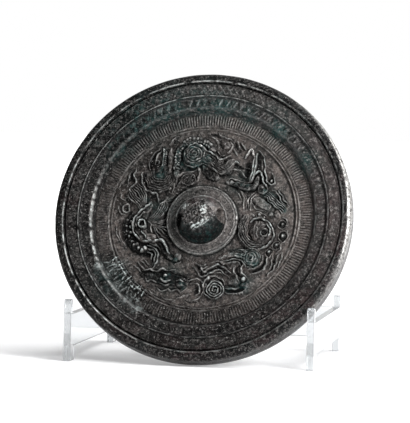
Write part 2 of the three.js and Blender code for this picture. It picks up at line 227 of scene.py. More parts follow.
# each figure is named by where it is on the face; s takes heights, d dark patina and painted shade, and t green
# patina
def drawTopCreature(s, d, t):
    d.boss((-5, 27), 9, 0.35, 0.75, shape=0.6)
    d.stroke((1, 28, 4, 24, 7.5, 21, 10, 24), 7.5, 0.45, tip=0.6)
    t.boss((-6, 27), 8.5, 0.8, 0.85, shape=0.6)
    t.stroke((-13.2, 30, -13, 25, -13, 19), 3.4, 0.8, tip=0.7)
    s.boss((-6, 27.6), 5.4, 1.9, 0.95, shape=0.4)
    s.stroke((-4, 26.5, 1, 26, 4.5, 22.8, 7.5, 21.6, 10, 24.6), 6.6, 1.6, tip=0.5)
    for k in range(6):
        o = k - 2.5
        s.stroke((-1.5 + 0.35 * o, 26.4 + o, 2 + 0.4 * o, 24.6 + 0.9 * o, 5 + 0.2 * o, 21.8 + 0.75 * o, 7.6 + 0.1 * o,
                  21.4 + 0.75 * o, 10 - 0.7 * o, 25.6 + 0.2 * o), 0.55, 0.5, add=True)
    for size in (1.1, 2.1, 3.1, 4.2):
        s.ring((-6, 27.6), size, 0.55, 0.5, 0.95, add=True)
    s.stroke((-9.4, 28.6, -8, 31.2, -5, 32, -2.4, 30.4, 0.4, 28.8, 3, 27.2, 4.6, 25.6, 6.6, 26.2, 9.4, 27.8), 0.8,
             1.1, add=True)
    s.stroke((3.4, 29.4, 5.6, 27.4, 8, 28.2), 0.6, 0.7)
    s.stroke((-13.4, 19, -13.2, 25, -12.4, 30, -9.4, 32.6, -5, 33.4, -1, 31.8, 2, 29.6), 3.0, 0.8, tip=0.5)
    s.beads((-13.9, 20.6, -13.9, 25, -13.2, 30.4), 8, 0.62, 1.5)
    s.beads((-12.6, 19.4, -12.5, 25, -11.6, 30, -9, 32), 11, 0.55, 1.4)
    s.beads((-11.4, 32.4, -8.2, 34.4, -4.4, 34.4, -1.4, 33.4, 1, 31.8), 9, 0.85, 1.6)
    s.beads((-9.6, 31.4, -6.4, 33, -3, 32.6, 0, 30.8), 9, 0.5, 0.6, add=True)
    s.ring((-12.4, 21.8), 0.8, 0.5, 0.7, add=True)
    d.boss((-12.4, 21.8), 0.6, 1.0)
    s.boss((-13, 18.8), 1.7, 1.5, 1.2, 10)
    d.stroke((-14.4, 30.4, -14.6, 27, -14.4, 23, -14.6, 19), 0.9, 0.9)
    s.stroke((-10.4, 24.4, -8.4, 22.2, -4.6, 22.6, -1, 24.2), 0.8, 1.0)
    d.stroke((-9.6, 21.4, -7, 21.4, -4.6, 22), 0.9, 0.8)
    # the two smooth lobes under it, with pale folds between
    d.boss((-7.8, 16.6), 2.9, 0.75, 0.85, shape=0.3)
    s.boss((-7.8, 16.6), 2.9, 0.9, 0.85, shape=0.25)
    s.ring((-7.8, 16.6), 3.0, 0.45, 0.8, 0.85, add=True)
    d.stroke((-10, 14.4, -8, 13.6, -5.6, 14.2), 0.8, 0.9)
    d.stroke((-1.6, 21.8, 0.6, 19.6, 2.8, 17.8, 4.8, 17.4), 4.0, 0.8, tip=0.4, shape=0.3)
    s.stroke((-1.8, 22.2, 0.6, 20, 2.8, 18.4, 5, 17.6), 4.2, 1.0, tip=0.35, shape=0.3)
    s.stroke((-2, 23.8, 2, 21.6, 4, 19.8, 5.4, 18), 0.6, 0.7, add=True)
    # painted shadow under the right lobe
    d.stroke((-1.4, 19.4, 0, 17.4, 2.4, 16.4, 5.2, 16.8), 0.9, 1.0)
    d.stroke((4.4, 19.2, 7.4, 18.6, 10, 20.4), 0.8, 0.9)
    s.stroke((-14.4, 10.6, -13.4, 14, -12.4, 17.2, -9.6, 19.6, -6, 20.2, -4, 21.6), 0.8, 0.9)
    s.stroke((-4, 22.4, -3.4, 19.6, -3.6, 17, -5, 14.8), 1.5, 0.8)
    s.stroke((-12.2, 13.2, -10.8, 16.4, -10.4, 18.4), 0.6, 0.8)
    s.stroke((-11, 13.4, -7.6, 12.6, -4, 13.2, 1, 14), 0.7, 0.5)
    d.stroke((-12.2, 16.2, -11.2, 15.2), 1.1, 1.0)
    for at in ((-16.8, 10.8), (-5.2, 12.2), (-1.4, 11.8), (-11, 20.9)):
        d.boss(at, 1.1, 0.8, 0.6)
    s.boss((-7.4, 11.8), 1.0, 0.8)
    # the brown curls over its back
    d.stroke((0, 36.9, 2.4, 36.6, 4.4, 35, 4.8, 32.4), 1.2, 0.8, tip=0.5)
    s.stroke((0, 35.6, 2, 35, 3.4, 33.2, 3.6, 31), 0.7, 0.7)
    s.stroke((3.2, 37.6, 5.4, 35.8, 8.4, 34.8, 10.4, 33.2), 0.6, 0.8)
    s.boss((7.4, 32.2), 1.9, 1.1)
    s.ring((7.4, 32.2), 1.0, 0.5, 0.4, add=True)
    d.stroke((5, 33.4, 5, 31.6, 6.4, 30), 0.8, 0.9)
    s.stroke((8.8, 34, 9.8, 31.6, 9, 29.4, 7.4, 28.9), 1.0, 1.0)
    d.lines([(10.6, 33.8, 11.4, 31.8, 13, 29.2), (12.8, 34, 13.6, 31.8, 14.8, 30)], 0.8, 0.9)
    s.lines([(11.6, 34, 12.4, 32, 13.8, 29.8), (13.8, 33.6, 14.4, 32, 15.6, 30.2), (10.4, 31, 11, 29.4, 12.4, 27.6)],
            0.6, 0.9)


def drawRightLimbs(s, d, t):
    d.stroke((17.2, 25.4, 17, 21.4, 16.6, 18.2), 2.6, 0.9, tip=0.5)
    d.stroke((21.2, 29.4, 21.6, 25, 21.4, 20.8), 2.0, 0.75, tip=0.5)
    s.stroke((10.4, 22.8, 11.6, 24.8, 13.2, 24.2), 0.9, 1.5)
    d.stroke((11.6, 24, 13.4, 22.8, 15.6, 22), 1.6, 1.0)
    s.stroke((10.6, 21.6, 12.4, 21.4, 14.6, 20.4, 16.6, 18), 0.7, 1.0)
    d.stroke((13, 19.6, 14.8, 18.4, 16.8, 17), 1.3, 0.8)
    s.stroke((15.4, 26.6, 16.6, 28.6, 18, 30.4, 19.2, 28, 19.6, 26), 1.4, 1.2, tip=0.5)
    s.stroke((19.5, 26.6, 19.3, 23, 18.9, 19.6, 18.2, 16.6), 0.8, 2.0, tip=0.5)
    s.stroke((20.4, 28.6, 20.4, 24, 20, 20, 19.6, 17.4, 18.6, 16.2), 0.7, 1.7, tip=0.5)
    s.stroke((21, 30.2, 23.2, 28, 24.2, 24, 24.7, 20, 25.6, 17, 27.2, 15.2, 28.8, 16, 28.8, 17.8, 27.4, 20.4), 0.65,
             1.3, tip=0.7)
    s.stroke((22.4, 26.6, 23, 23, 23, 21), 0.5, 0.7)
    d.boss((27.3, 17.2), 1.2, 0.8, 1.5, 20)
    s.boss((27.4, 16.8), 0.7, 1.0)
    s.stroke((20.4, 19.4, 21.4, 20.8, 23, 20.2, 23.6, 17.8, 24.4, 15.8, 26, 13.4), 0.85, 2.0, tip=0.5)
    d.stroke((21.4, 18.8, 21.8, 16.8, 22.4, 15.2), 1.6, 0.9)
    s.stroke((21.6, 18, 20.6, 14.6, 17.8, 13.6, 14, 14.6, 9.6, 15.8), 3.0, 1.8, tip=0.5, shape=0.35)
    d.stroke((21.4, 17.6, 20.6, 14.4, 17.8, 13.2, 14, 14.2, 10.6, 15.2), 3.4, 0.95, tip=0.5, shape=0.3)
    s.stroke((8.8, 15.8, 9.6, 17.3, 13, 16.8, 17, 15.8, 19.2, 17), 0.6, 0.8, add=True)
    s.boss((9.2, 15.8), 0.9, 1.6)
    d.boss((24, 13.2), 2.2, 0.7)
    s.boss((24, 13.2), 2.1, 1.2)
    s.ring((24, 13.2), 1.9, 0.5, 0.5, add=True)
    s.beads((23, 14, 24.4, 13.6, 24.6, 12.4), 4, 0.45, 0.4, add=True)
    s.boss((24.2, 7), 3.9, 0.8, 0.46, -28, shape=0.18)
    s.ring((24.2, 7), 4.0, 0.45, 0.5, 0.46, -28, add=True)
    s.stroke((20.6, 9, 20, 6.8, 22.4, 4.4, 26.4, 3.4), 0.5, 0.8)
    t.stroke((25.5, 12, 29.3, 8.6, 33.4, 4.6), 4.6, 0.9, tip=0.6)
    d.stroke((26, 10.6, 29, 7.6, 33.4, 4.2), 2.6, 0.5, tip=0.6)
    for o in (-1.4, -0.5, 0.4, 1.3):
        s.stroke((25.8 + o * 0.7, 11.2 + o * 0.7, 29.2 + o * 0.6, 8 + o * 0.7, 33.6 + o * 0.5, 4.4 + o * 0.8), 0.6,
                 1.3)
    d.lines([(29.4, 13, 31.4, 11.2, 32.8, 8.4, 35, 6), (30.8, 13.2, 33, 10.6, 34.2, 8.2)], 0.6, 0.9)
    s.lines([(28, 13, 30.4, 11.6, 31.8, 8.8, 34.2, 6), (30.2, 13.2, 32.2, 11, 33.4, 8.6, 35.4, 6.6)], 0.5, 1.1)
    s.lines([(13.6, 13.4, 15.4, 11.2, 16.4, 8.4, 16.4, 4.6), (20.4, 11.6, 18.8, 9.4, 18.2, 7, 18.6, 4.4),
             (21.4, 11, 19.8, 8.8, 19.2, 6.4, 19.6, 4)], 0.75, 0.8)
    s.lines([(15, 12.4, 16.4, 10.6, 17.4, 8, 17.4, 4.4), (12.4, 12.6, 14, 10.8, 15.2, 8.4)], 0.45, 0.6)
    d.stroke((17.4, 11.6, 17.8, 8.6), 0.9, 0.5)


def drawRightHaunch(s, d, t):
    d.stroke((17.4, 1, 16.4, -3.4, 17.6, -9, 21.5, -11.6, 25.5, -11.4), 4.6, 0.7, tip=0.6)
    d.boss((25.2, -5.6), 4.6, 0.45, 1.1)
    d.boss((26.2, -6), 2.3, 0.95, 1.15)
    s.stroke((18, 1.4, 16.8, -3, 17.8, -8.8, 21.5, -11.4, 25.5, -11), 4.4, 1.0, tip=0.5)
    for o in (-1.6, -0.75, 0.1, 0.95, 1.8):
        s.stroke((18 + o, 1.6, 16.9 + o, -3, 18 + 0.9 * o, -8.2 + 0.5 * o, 21.4 + 0.4 * o, -11 + o, 25.4, -11 + o),
                 0.5, 0.6, add=True)
    s.boss((25, -5.4), 4.8, 1.5, 1.1, 8, shape=0.35)
    s.ring((26.3, -6), 1.35, 0.6, 0.8, 1.15, add=True)
    s.ring((26, -5.8), 2.8, 0.5, 0.35, 1.15, add=True)
    s.stroke((26.8, -2.4, 28.3, -3.8, 28.6, -5.8, 27.9, -7.6), 0.8, 1.0, add=True)
    s.beads((27.4, -3.2, 28.8, -5.2, 28, -7.4), 4, 0.5, 0.5, add=True)
    s.lines([(22.6, -1.6, 21.6, -4.8, 22.4, -8), (23.8, -1, 22.9, -4.6, 23.6, -8.4)], 0.5, 0.5, add=True)
    d.lines([(22, -1.8, 21, -4.8, 21.6, -7.6), (24.2, -9.2, 26.4, -9.8, 28, -9)], 0.7, 0.7)
    s.stroke((19.8, -1.2, 22, 0.4, 24.6, 0.4, 28, -1.6, 29.8, -4.8, 29.8, -8, 27.8, -11.2, 24, -13), 0.7, 1.7,
             tip=0.6)
    d.stroke((20.6, -0.6, 23, -0.6, 26.4, -0.8, 28.8, -3.2), 0.6, 0.9)
    s.boss((28.4, 2.2), 1.3, 1.1)
    d.ring((28.4, 2.2), 0.9, 0.6, 1.0)
    s.boss((30.8, 2.6), 1.2, 0.7, 1.6, 30)
    s.stroke((21.4, 3.6, 24, 3, 26.4, 1.6), 0.6, 0.8)
    s.boss((23.4, 2.2), 0.7, 1.3)
    s.beads((20.6, 1.8, 23, 1.2, 26, 0.8), 5, 0.45, 0.8)
    for at, size, stretch, turn in (((33.3, -1.9), 1.5, 1.0, 0), ((33.9, -7), 1.5, 1.3, 0),
                                    ((31.5, -11), 1.4, 0.9, 40), ((28.6, -14), 1.6, 0.75, 45)):
        d.boss(at, size * 1.05, 1.0, stretch, turn, shape=0.2)
        s.boss(at, size * 0.95, 0.8, stretch, turn)
        s.boss(at, size * 0.42, 0.9, stretch, turn, add=True)
        s.ring(at, size * 1.25, 0.4, 0.6, stretch, turn)
    s.lines([(32.8, 0.8, 34.8, 0.6, 35.6, -1.6), (35.6, -4.2, 36.2, -7), (33.8, -9.6, 33.2, -12.4, 31.4, -14.6)], 0.5,
            0.8)
    # tail and clouds
    t.stroke((13, -14.4, 18, -15, 23, -15), 4.6, 0.8, tip=0.5)
    t.boss((21.4, -17), 4.2, 0.8)
    d.stroke((12, -14.2, 17, -14, 21.4, -13.4, 24, -12.4), 2.4, 0.75, tip=0.5)
    s.stroke((24, -13, 19, -14.6, 13.5, -15.2, 8.4, -17.2), 3.6, 0.8, tip=0.45)
    for o in (-1.2, -0.4, 0.4, 1.2):
        s.stroke((24 - 0.3 * o, -12.8 + o, 19, -14.4 + o, 14.4, -15.2 + 0.8 * o, 8.4 + o, -17.2 + 0.2 * o), 0.5, 0.6,
                 add=True)
    s.lines([(8, -19, 12, -18, 15.6, -17.4, 18.4, -19, 19.2, -20.8), (9, -20, 12.6, -19.2, 15.6, -18.6, 17.4, -20),
             (10.4, -16.4, 14, -16.2, 17.8, -16.8, 19.8, -18.6)], 0.6, 1.2)
    d.lines([(11, -18.6, 15, -17.9, 17.8, -19.4)], 0.6, 0.9)
    s.boss((21.6, -16.8), 3.6, 1.1, 0.95, 20)
    for size in (1.0, 2.0, 3.0, 3.9):
        s.ring((21.4, -16.8), size, 0.5, 0.45, add=True)
    s.beads((20.6, -15.4, 22.4, -16.4, 22, -18.4), 5, 0.5, 0.6, add=True)
    s.lines([(26.2, -15.4, 26, -18.6, 23.4, -21, 20, -21.6), (27.9, -15.6, 27.8, -19.4, 25.6, -22.4, 21.4, -24)], 0.7,
            1.1)
    d.lines([(27, -15.6, 27, -18.8, 25, -21.4, 21.6, -22.6)], 0.9, 1.0)
    d.stroke((21, -22.4, 23, -22.6, 25.2, -21.8), 1.8, 0.6)
    s.lines([(32.4, -14.4, 32, -18, 31, -21.4, 28.4, -24.2), (34.4, -14, 33.4, -18, 32.8, -20.6),
             (30, -15.4, 30.2, -18.8, 29, -21.6)], 0.6, 1.0)
    d.stroke((31.2, -14.4, 31, -18, 30, -21.6, 27.6, -24), 0.9, 1.0)


def drawBottomCurls(s, d, t):
    d.boss((7.2, -30.8), 4.8, 0.55)
    s.spiral((7.2, -30.8), 4.4, 0.5, 3.6, 150, 0.65, 1.4)
    s.stroke((3, -33.8, 2.4, -29.8, 3.8, -26.2, 6.8, -25.2, 10, -26.4, 11.4, -28.6), 0.7, 1.2)
    s.boss((4.2, -26.2), 0.7, 1.6)
    s.stroke((5, -26.9, 7.4, -26.3, 9.8, -27.6), 0.5, 0.8)
    d.lines([(-2.6, -20, 0, -22, 1.6, -24.6, 5, -22.6, 8, -21.2, 11, -22.8, 14, -25)], 0.9, 1.0)
    s.lines([(-1.8, -19.2, 0.6, -21.2, 2, -23.4, 4.8, -21.6, 8, -20.2, 11.4, -21.8, 14.6, -24.2),
             (-3.4, -20.8, -1, -22.8, 1, -25.6, 3.4, -24.8, 5.4, -23.4, 8, -22.2, 10.6, -23.8, 13, -25.8)], 0.65, 1.2)
    s.stroke((6, -23.8, 8.4, -23.4, 10.4, -25), 0.5, 0.8)
    s.lines([(3.6, -19.8, 7, -18.8, 10.4, -19.4, 13.4, -21.6)], 0.7, 0.7)
    s.lines([(-0.6, -20.2, 1.2, -20.9, 2.8, -20), (0.6, -21.9, 2, -22.2, 3.4, -20.9)], 0.6, 1.2)
    d.stroke((-1, -21, 1, -21.6, 2.4, -21), 0.6, 1.0)
    s.lines([(-4.4, -27.2, -0.6, -26.6, 2.2, -28.4, 2.6, -31.2, 1, -34.6, -2.4, -35.8),
             (-3.6, -28.6, -1, -28.2, 0.8, -29.8, 0.6, -32.4, -1.4, -34.2)], 0.65, 0.9)
    d.stroke((-0.4, -29.8, -0.2, -31.6, -1.4, -33), 1.2, 0.5)
    d.lines([(16.8, -19.6, 15.9, -21.4, 16.4, -23.6, 18, -25.2), (18.2, -27.2, 16.6, -28.8, 14, -29.2, 11.4, -28.4)],
            1.2, 1.0)
    s.lines([(18.4, -19.8, 17.6, -21.6, 18.2, -23.6, 20.2, -25.2), (14.8, -20.4, 14.6, -23, 16, -25.2, 17, -27)], 0.9,
            1.3)
    s.boss((18.9, -25.9), 0.95, 2.4)
    s.boss((14.6, -26.8), 2.2, 0.9, 0.75, 20, shape=0.3)
    d.stroke((12.2, -28.4, 14, -25.6, 16.6, -26.6), 0.6, 0.8)
    t.boss((19, -28.2), 2.6, 1.0, 0.9)
    t.stroke((11, -30, 14.4, -30.8, 18, -30), 2.4, 1.0)
    d.stroke((10.6, -30.2, 14.4, -31, 18, -30.4, 20, -27.6), 1.8, 0.8, tip=0.5)
    s.boss((19.4, -28.6), 1.6, 0.8)
    s.lines([(11.6, -31.6, 14.4, -32.4, 18.4, -31.4, 20.6, -29.4), (11.4, -30.2, 14, -30.4, 17.4, -30)], 0.6, 1.0)
    s.beads((15, -32.8, 17, -32.2, 19.4, -31.4), 4, 0.5, 0.9)
    # three bosses in a dark band, and clouds under them
    d.stroke((-23.4, -25, -18, -26, -13.5, -26.4, -4.8, -27.4), 6.4, 0.95, tip=0.6, shape=0.3)
    s.stroke((-23, -25.6, -18, -26.4, -13.5, -26.8, -5, -28), 4.8, 0.7, tip=0.5, shape=0.3)
    s.boss((-20.6, -26.2), 2.2, 1.1)
    s.stroke((-22.6, -26, -21.2, -28.2, -19.2, -27.8, -17.4, -28.6), 0.6, 1.3)
    s.boss((-13.5, -26.6), 2.8, 1.5)
    s.boss((-13.9, -26), 1.0, 0.8, 0.6, 10, add=True)
    s.stroke((-15.8, -27.2, -13.6, -28.4, -11.2, -27.4), 0.8, 1.0, add=True)
    s.stroke((-16, -28.6, -13.6, -29.8, -11, -28.9), 0.6, 1.3)
    s.boss((-7.4, -28), 2.3, 1.4)
    s.stroke((-9.2, -27.4, -7.4, -27.6, -5.6, -28.2), 0.9, 0.9, add=True)
    s.beads((-9, -26.4, -6, -26.6, -4.8, -27.8), 5, 0.45, 0.9)
    t.boss((-7, -29.4), 2.0, 1.0)
    t.boss((-13.5, -26.4), 3, 0.5)
    s.lines([(-23.4, -23.6, -20.4, -22.9, -17.8, -24, -15.2, -22.6, -12.4, -23.4, -9.8, -22.6), (-17.6, -30.4, -16.4,
                                                                                                 -31.8, -14, -32.2,
                                                                                                 -12.6, -31.4, -11,
                                                                                                 -32.2, -8.6, -31.4,
                                                                                                 -6.8, -32.4, -4.6,
                                                                                                 -30.6)], 0.7, 1.0)
    d.lines([(-18.8, -29.4, -16.4, -31, -14, -31.4, -11.6, -31.2, -9, -30.9, -5, -30.6),
             (-5.4, -35.4, -2.6, -36.6, 0.6, -36)], 0.7, 1.0)
    s.lines([(-15, -34.6, -12.4, -35.8, -9.4, -35.6), (-8.6, -35, -5.6, -34.2, -3.6, -32.6),
             (-20.4, -31.6, -18.8, -33.4, -16.4, -33.8)], 0.8, 0.5)
    s.lines([(-26.2, -20, -24.6, -21.8, -22.6, -23.4), (-25, -19.2, -23.4, -20.9, -21.6, -22.4),
             (-27.2, -21.2, -25.8, -22.8, -24, -24.4), (-23.6, -18.8, -22.2, -20.2, -20.8, -21.4)], 0.5, 1.0)


def drawLeftCreature(s, d, t):
    d.stroke((-30.6, 0.8, -32.4, -4, -31.8, -8, -29.8, -11.8, -26.6, -15, -22, -16.4, -19, -15), 4.0, 1.0, tip=0.6,
             shape=0.3)
    d.stroke((-24, -12.6, -20, -13.6, -18.6, -17, -19.6, -21.6), 3.4, 0.75, tip=0.5)
    d.stroke((-23, 4, -26, 0, -27, -5, -24.4, -9.6), 5.6, 0.6, tip=0.5)
    s.stroke((-31, -0.5, -32.6, -4, -31.8, -8, -29.8, -11.4, -27, -14, -23, -15), 3.8, 0.8, tip=0.5)
    s.stroke((-23, 4.6, -26, 0.5, -26.8, -5, -24.4, -9.4, -20.6, -9), 5.4, 1.4, tip=0.5, shape=0.35)
    s.stroke((-22.4, 6, -24.4, 3.8, -26.6, 1.2, -28.8, -1.6, -29.3, -5, -28.5, -8, -26.4, -10.2), 0.9, 2.8, tip=0.6)
    s.stroke((-24.8, 1.6, -27, -1, -28.1, -3, -28.2, -5.4), 0.5, 1.0, add=True)
    s.stroke((-27.9, -6.4, -26.4, -9, -23.8, -10.6), 0.5, 0.6, add=True)
    s.ring((-25.5, -3.8), 1.35, 0.55, 1.9, 1.3, add=True)
    d.boss((-25.5, -3.8), 1.0, 1.0, 1.3)
    d.ring((-25.5, -3.8), 2.0, 0.6, 0.8, 1.25)
    s.stroke((-25.4, -6.8, -24.4, -8.2, -23.2, -9.8), 0.55, 1.5, tip=0.6, add=True)
    for at in ((-31.7, -2.2), (-32.1, -4.8), (-31.8, -7.2), (-30.8, -9.2), (-29.2, -11.6), (-30.4, -2.8),
               (-30.6, -5), (-30.1, -7.4)):
        s.boss(at, 0.62, 1.8)
    for at in ((-27, -12.6), (-28, -13.2), (-23.6, -14.2), (-24.6, -15.2), (-26.2, -14)):
        s.boss(at, 0.85, 2.1)
    s.stroke((-24.6, -11.2, -22, -11, -19.5, -11.4, -17.4, -10.6, -15.5, -11.6, -14.5, -13.6, -13.2, -16.4), 0.95,
             2.9, tip=0.5)
    s.stroke((-20, -12.4, -17, -12, -15.6, -14, -13, -17.4, -10, -19), 2.4, 1.3, tip=0.5)
    s.stroke((-17.6, -10.8, -15.6, -11.7, -14.4, -13.6, -13, -16), 0.6, 1.2, tip=0.5, add=True)
    d.stroke((-18, -12.4, -16, -13.2, -15, -15, -12.8, -17.8, -9.6, -18.8), 3.0, 1.0, tip=0.6, shape=0.3)
    t.stroke((-12.6, -17, -11, -18.8, -9, -19.2), 1.8, 0.9)
    s.boss((-9.2, -17.4), 1.5, 1.8)
    s.boss((-9.4, -17), 0.6, 0.7, add=True)
    s.ring((-9.2, -17.4), 1.4, 0.4, 0.4, add=True)
    s.stroke((-8, -18.8, -8.8, -20, -10.8, -20.4), 0.6, 0.8)
    s.lines([(-23.2, -12.8, -20.4, -13.6, -18.2, -15.4, -17.6, -18, -18.8, -21.4, -19.8, -22.8),
             (-22.4, -14.2, -20, -14.8, -18.9, -16.8, -19.2, -19.6, -20, -21.6), (-22, -12, -18.8, -12.8, -16.8, -15),
             (-22.4, -15.6, -20.6, -16.4, -20.2, -18.6)], 0.6, 1.5)
    s.lines([(-17.3 + 0.75 * k, 8.6 - 0.7 * abs(k - 2), -15.6 + 0.2 * k - 0.95 * k, 5.4, -16.2 - 0.95 * k, 2.2,
              -19 - 0.9 * k, -0.8) for k in range(5)], 0.45, 1.1)
    s.lines([(-21.4, -3.4, -18.6 + 1.1 * k, -5.2 - 0.9 * (4 - k), -16.2 + 0.8 * k, -7.2 - 0.7 * (4 - k))
             for k in range(5)], 0.4, 1.0)
    s.lines([(-21.4, -3, -19 + 0.8 * k, -1.4 - 0.8 * (3 - k), -16 + 0.3 * k, 0.6 - 1.2 * (3 - k)) for k in range(4)],
            0.4, 0.9)
    s.stroke((-23.4, -2, -21.8, -3.4, -22.2, -5, -21.2, -7.2), 0.55, 0.9)
    d.stroke((-20.6, -5.4, -18.4, -7.6, -16.6, -9.2), 1.4, 0.5)
    s.lines([(-36.8, -4.6, -36, -8.6, -33, -13), (-35.4, -6, -34.6, -9.4, -31.8, -13.6)], 0.7, 0.5)
    d.stroke((-36.6, -5.6, -35.8, -9), 0.7, 0.6)
    t.stroke((-24.8, 8.4, -24.2, 6, -22.4, 4), 2.0, 1.0)


def drawUpperLeft(s, d, t):
    d.stroke((-20.2, 30.2, -22.6, 26.8, -24, 23.4, -23.8, 20.6, -22.2, 17.8), 1.9, 1.0, tip=0.5, shape=0.2)
    s.stroke((-20.8, 30.8, -23.6, 27.2, -25.1, 23.4, -24.8, 19.8), 0.5, 0.9)
    s.stroke((-19.9, 29.4, -21.8, 26.2, -22.8, 23), 0.6, 1.0)
    s.ring((-21.8, 23.6), 0.9, 0.5, 0.9)
    d.boss((-21.8, 23.6), 0.6, 0.9)
    d.boss((-21, 21.6), 1.6, 0.5)
    s.beads((-19.3, 30, -19.2, 26, -19.2, 21.8), 10, 0.5, 1.4)
    s.beads((-18.3, 28.8, -18.2, 25, -18.4, 22), 7, 0.45, 1.0)
    t.stroke((-19.2, 30, -18.9, 22), 2.4, 0.7, tip=0.7)
    d.stroke((-17.7, 30, -17.3, 26, -17.4, 22.6), 0.7, 0.7)
    s.stroke((-16.4, 30, -16.3, 25, -16.2, 20.4), 1.9, 0.9, tip=0.5, shape=0.25)
    s.stroke((-15.2, 29.4, -15.2, 25, -15, 21.4), 0.5, 0.7)
    d.lines([(-15.6, 34.6, -14.8, 32, -13.4, 31), (-13.8, 35.6, -14, 33, -15.8, 31)], 1.0, 0.8)
    s.stroke((-17.2, 31.6, -16.2, 33.4, -14.8, 35.2), 0.7, 0.7)
    # the shell of fine arcs
    d.boss((-19.6, 16), 6.4, 0.3, 0.95)
    t.boss((-19.6, 18.4), 3.4, 0.4)
    s.boss((-19.8, 16.4), 6.2, 1.0, 0.98, shape=0.35)
    for k in range(6):
        reach = 2.2 + 0.95 * k
        s.stroke((-20.8 - 0.95 * reach, 20.4 - 0.2 * k, -20.4 - 0.75 * reach, 18.6 - 0.85 * reach, -19.4,
                  18.4 - 1.12 * reach, -18.6 + 0.66 * reach, 18 - 0.6 * reach, -18.6 + 0.8 * reach, 19.4), 0.45, 0.45,
                 add=True)
    s.stroke((-27.6, 19.2, -27.4, 15.4, -25.6, 11.8, -23.4, 10.4, -21, 9.9, -19.8, 7.8, -20, 6), 0.8, 1.4)
    d.stroke((-26.8, 19.4, -26.6, 16, -25.2, 13.2), 0.7, 0.9)
    s.stroke((-13.9, 18, -14, 14.4, -15.4, 11.6), 0.6, 0.9)
    # painted shade in a small recess at the left
    d.stroke((-31.4, 19.6, -32, 17, -32.8, 15.4, -31.2, 15.6), 1.3, 1.0, tip=0.2, tail=0.6)
    s.stroke((-30.6, 20.4, -31, 17.6, -30, 15.4, -31, 13.2, -32.6, 11.4, -31.4, 10), 0.8, 1.2)
    s.stroke((-33.6, 12.4, -33.4, 15.4, -32.4, 19.8), 0.6, 0.8)
    s.lines([(-31.4 + 0.55 * k, 11.6 + 0.75 * k, -29.4 + 0.7 * k, 9 + 0.7 * k, -27.2 + 0.5 * k, 6.6 + 0.6 * k,
              -26 + 0.3 * k, 3.6 + 0.4 * k) for k in range(-3, 5)], 0.5, 1.1)
    d.stroke((-34.4, 9.6, -33.4, 7.2, -30.6, 5.6), 1.8, 0.5)
    s.ring((-33.1, 3), 1.6, 0.6, 0.9, 1.15)
    d.boss((-33.1, 3), 1.1, 0.6, 1.15)
    s.lines([(-35.8, 9.6, -35.6, 7.4, -33.8, 6.6), (-36.6, 4.4, -35.8, 1.4, -33.4, 0)], 0.6, 0.9)


reliefSet = {
    "spacing": 0.12, "half": 42, "base": 2.7, "spinSteps": 1080, "rows": 84, "under": 1.6, "gain": 1.2,
    "rings": (("mirrorRelief", 8.2, 25.5), ("mirrorReliefOuter", 25.5, 40.0)),
    "riseBlur": 0.5, "shadeBlur": 1.8, "darkBlur": 0.15, "greenBlur": 0.6,
    "wobble": (0.22, 4, 14, 15),  # size, scale and seeds: the figures are cut by hand, so never quite even
    "swell": (0.22, 3, 16), "uneven": (0.072, 5, 11), "grain": (0.06, 1.4, 12),
    "underKnob": 0.4, "groove": (37.7, 38.6, 0.4),
    "lip": (0, 0.7, 0.2), "lipMiddle": 125, "lipReach": 55,  # a painted highlight, the bright arc round the knob's foot
    "ridgeBreakup": (0.75, 0.6, 3.5, 20, 0.25), "lit": (  # where ridges catch the light: x, y and size
        (-3, 30, 2.6), (1.5, 28, 2.2), (7, 25, 2), (11.5, 25, 1.6), (18.5, 28, 2.4), (19.3, 20, 2.4), (24.5, 17, 2),
        (28.4, -3.5, 2.4), (22, -12, 2), (22, -16, 2), (19, -26, 1.6), (7, -30, 2), (-13.4, -26, 2), (-8, -28, 1.6),
        (-24, -14, 2), (-27.5, -8, 2.4), (-25.6, -3.6, 2.6), (-25, 3, 2.6), (-16.4, -11.4, 2.2), (-13.6, -15, 2.2)),
    "figures": (drawLeftCreature, drawTopCreature, drawRightLimbs, drawRightHaunch, drawBottomCurls, drawUpperLeft)}
# dark: arcs of painted shade on the ring's left half and just outside it on the left: radius, angles, width and
# strength
ringSet = {"at": (-0.5, -1.2), "outer": 15.1, "lips": (14.6, 13.5), "lipWidth": 0.55, "lipHeight": 0.3, "level": 4.2,
           "dark": ((12.6, range(80, 251, 10), 4.0, 0.45), (15.9, range(120, 231, 10), 1.5, 1.0))}
knobSet = {
    "at": (-0.75, -1.5), "radius": 10.2, "top": 13.2, "foot": 4.5, "under": 3.0, "steps": 220, "rows": 60,
    "holeWidth": 6.2, "holeHeight": 6.2, "holeTurn": 9, "holeSteps": 16, "holeReach": 12,
    "wornAt": (-1.6, 1.4), "wornReach": 6.6, "mouth": (-9, -2, 2.3, 3.6), "dustAt": (7, 3), "dustSize": 7,
    # shines: painted highlights, x, y and size
    "shines": ((-6.2, 4.2, 1.3), (2.0, 3.6, 1.2), (2.2, 1.6, 1.1), (0.6, -4.4, 1.0), (-1.6, -5.0, 1.0),
               (2.4, -3.2, 1.1), (3.6, -1.6, 0.9))}
strokeSet = {"seed": 8, "rows": ((40.4, 1.0), (44.0, 0.4)), "angles": (208, 236, 2.5), "width": 0.6, "rise": 0.8,
             "half": 50, "spacing": 0.14, "end": 47, "cleared": (-32, -28, 10)}


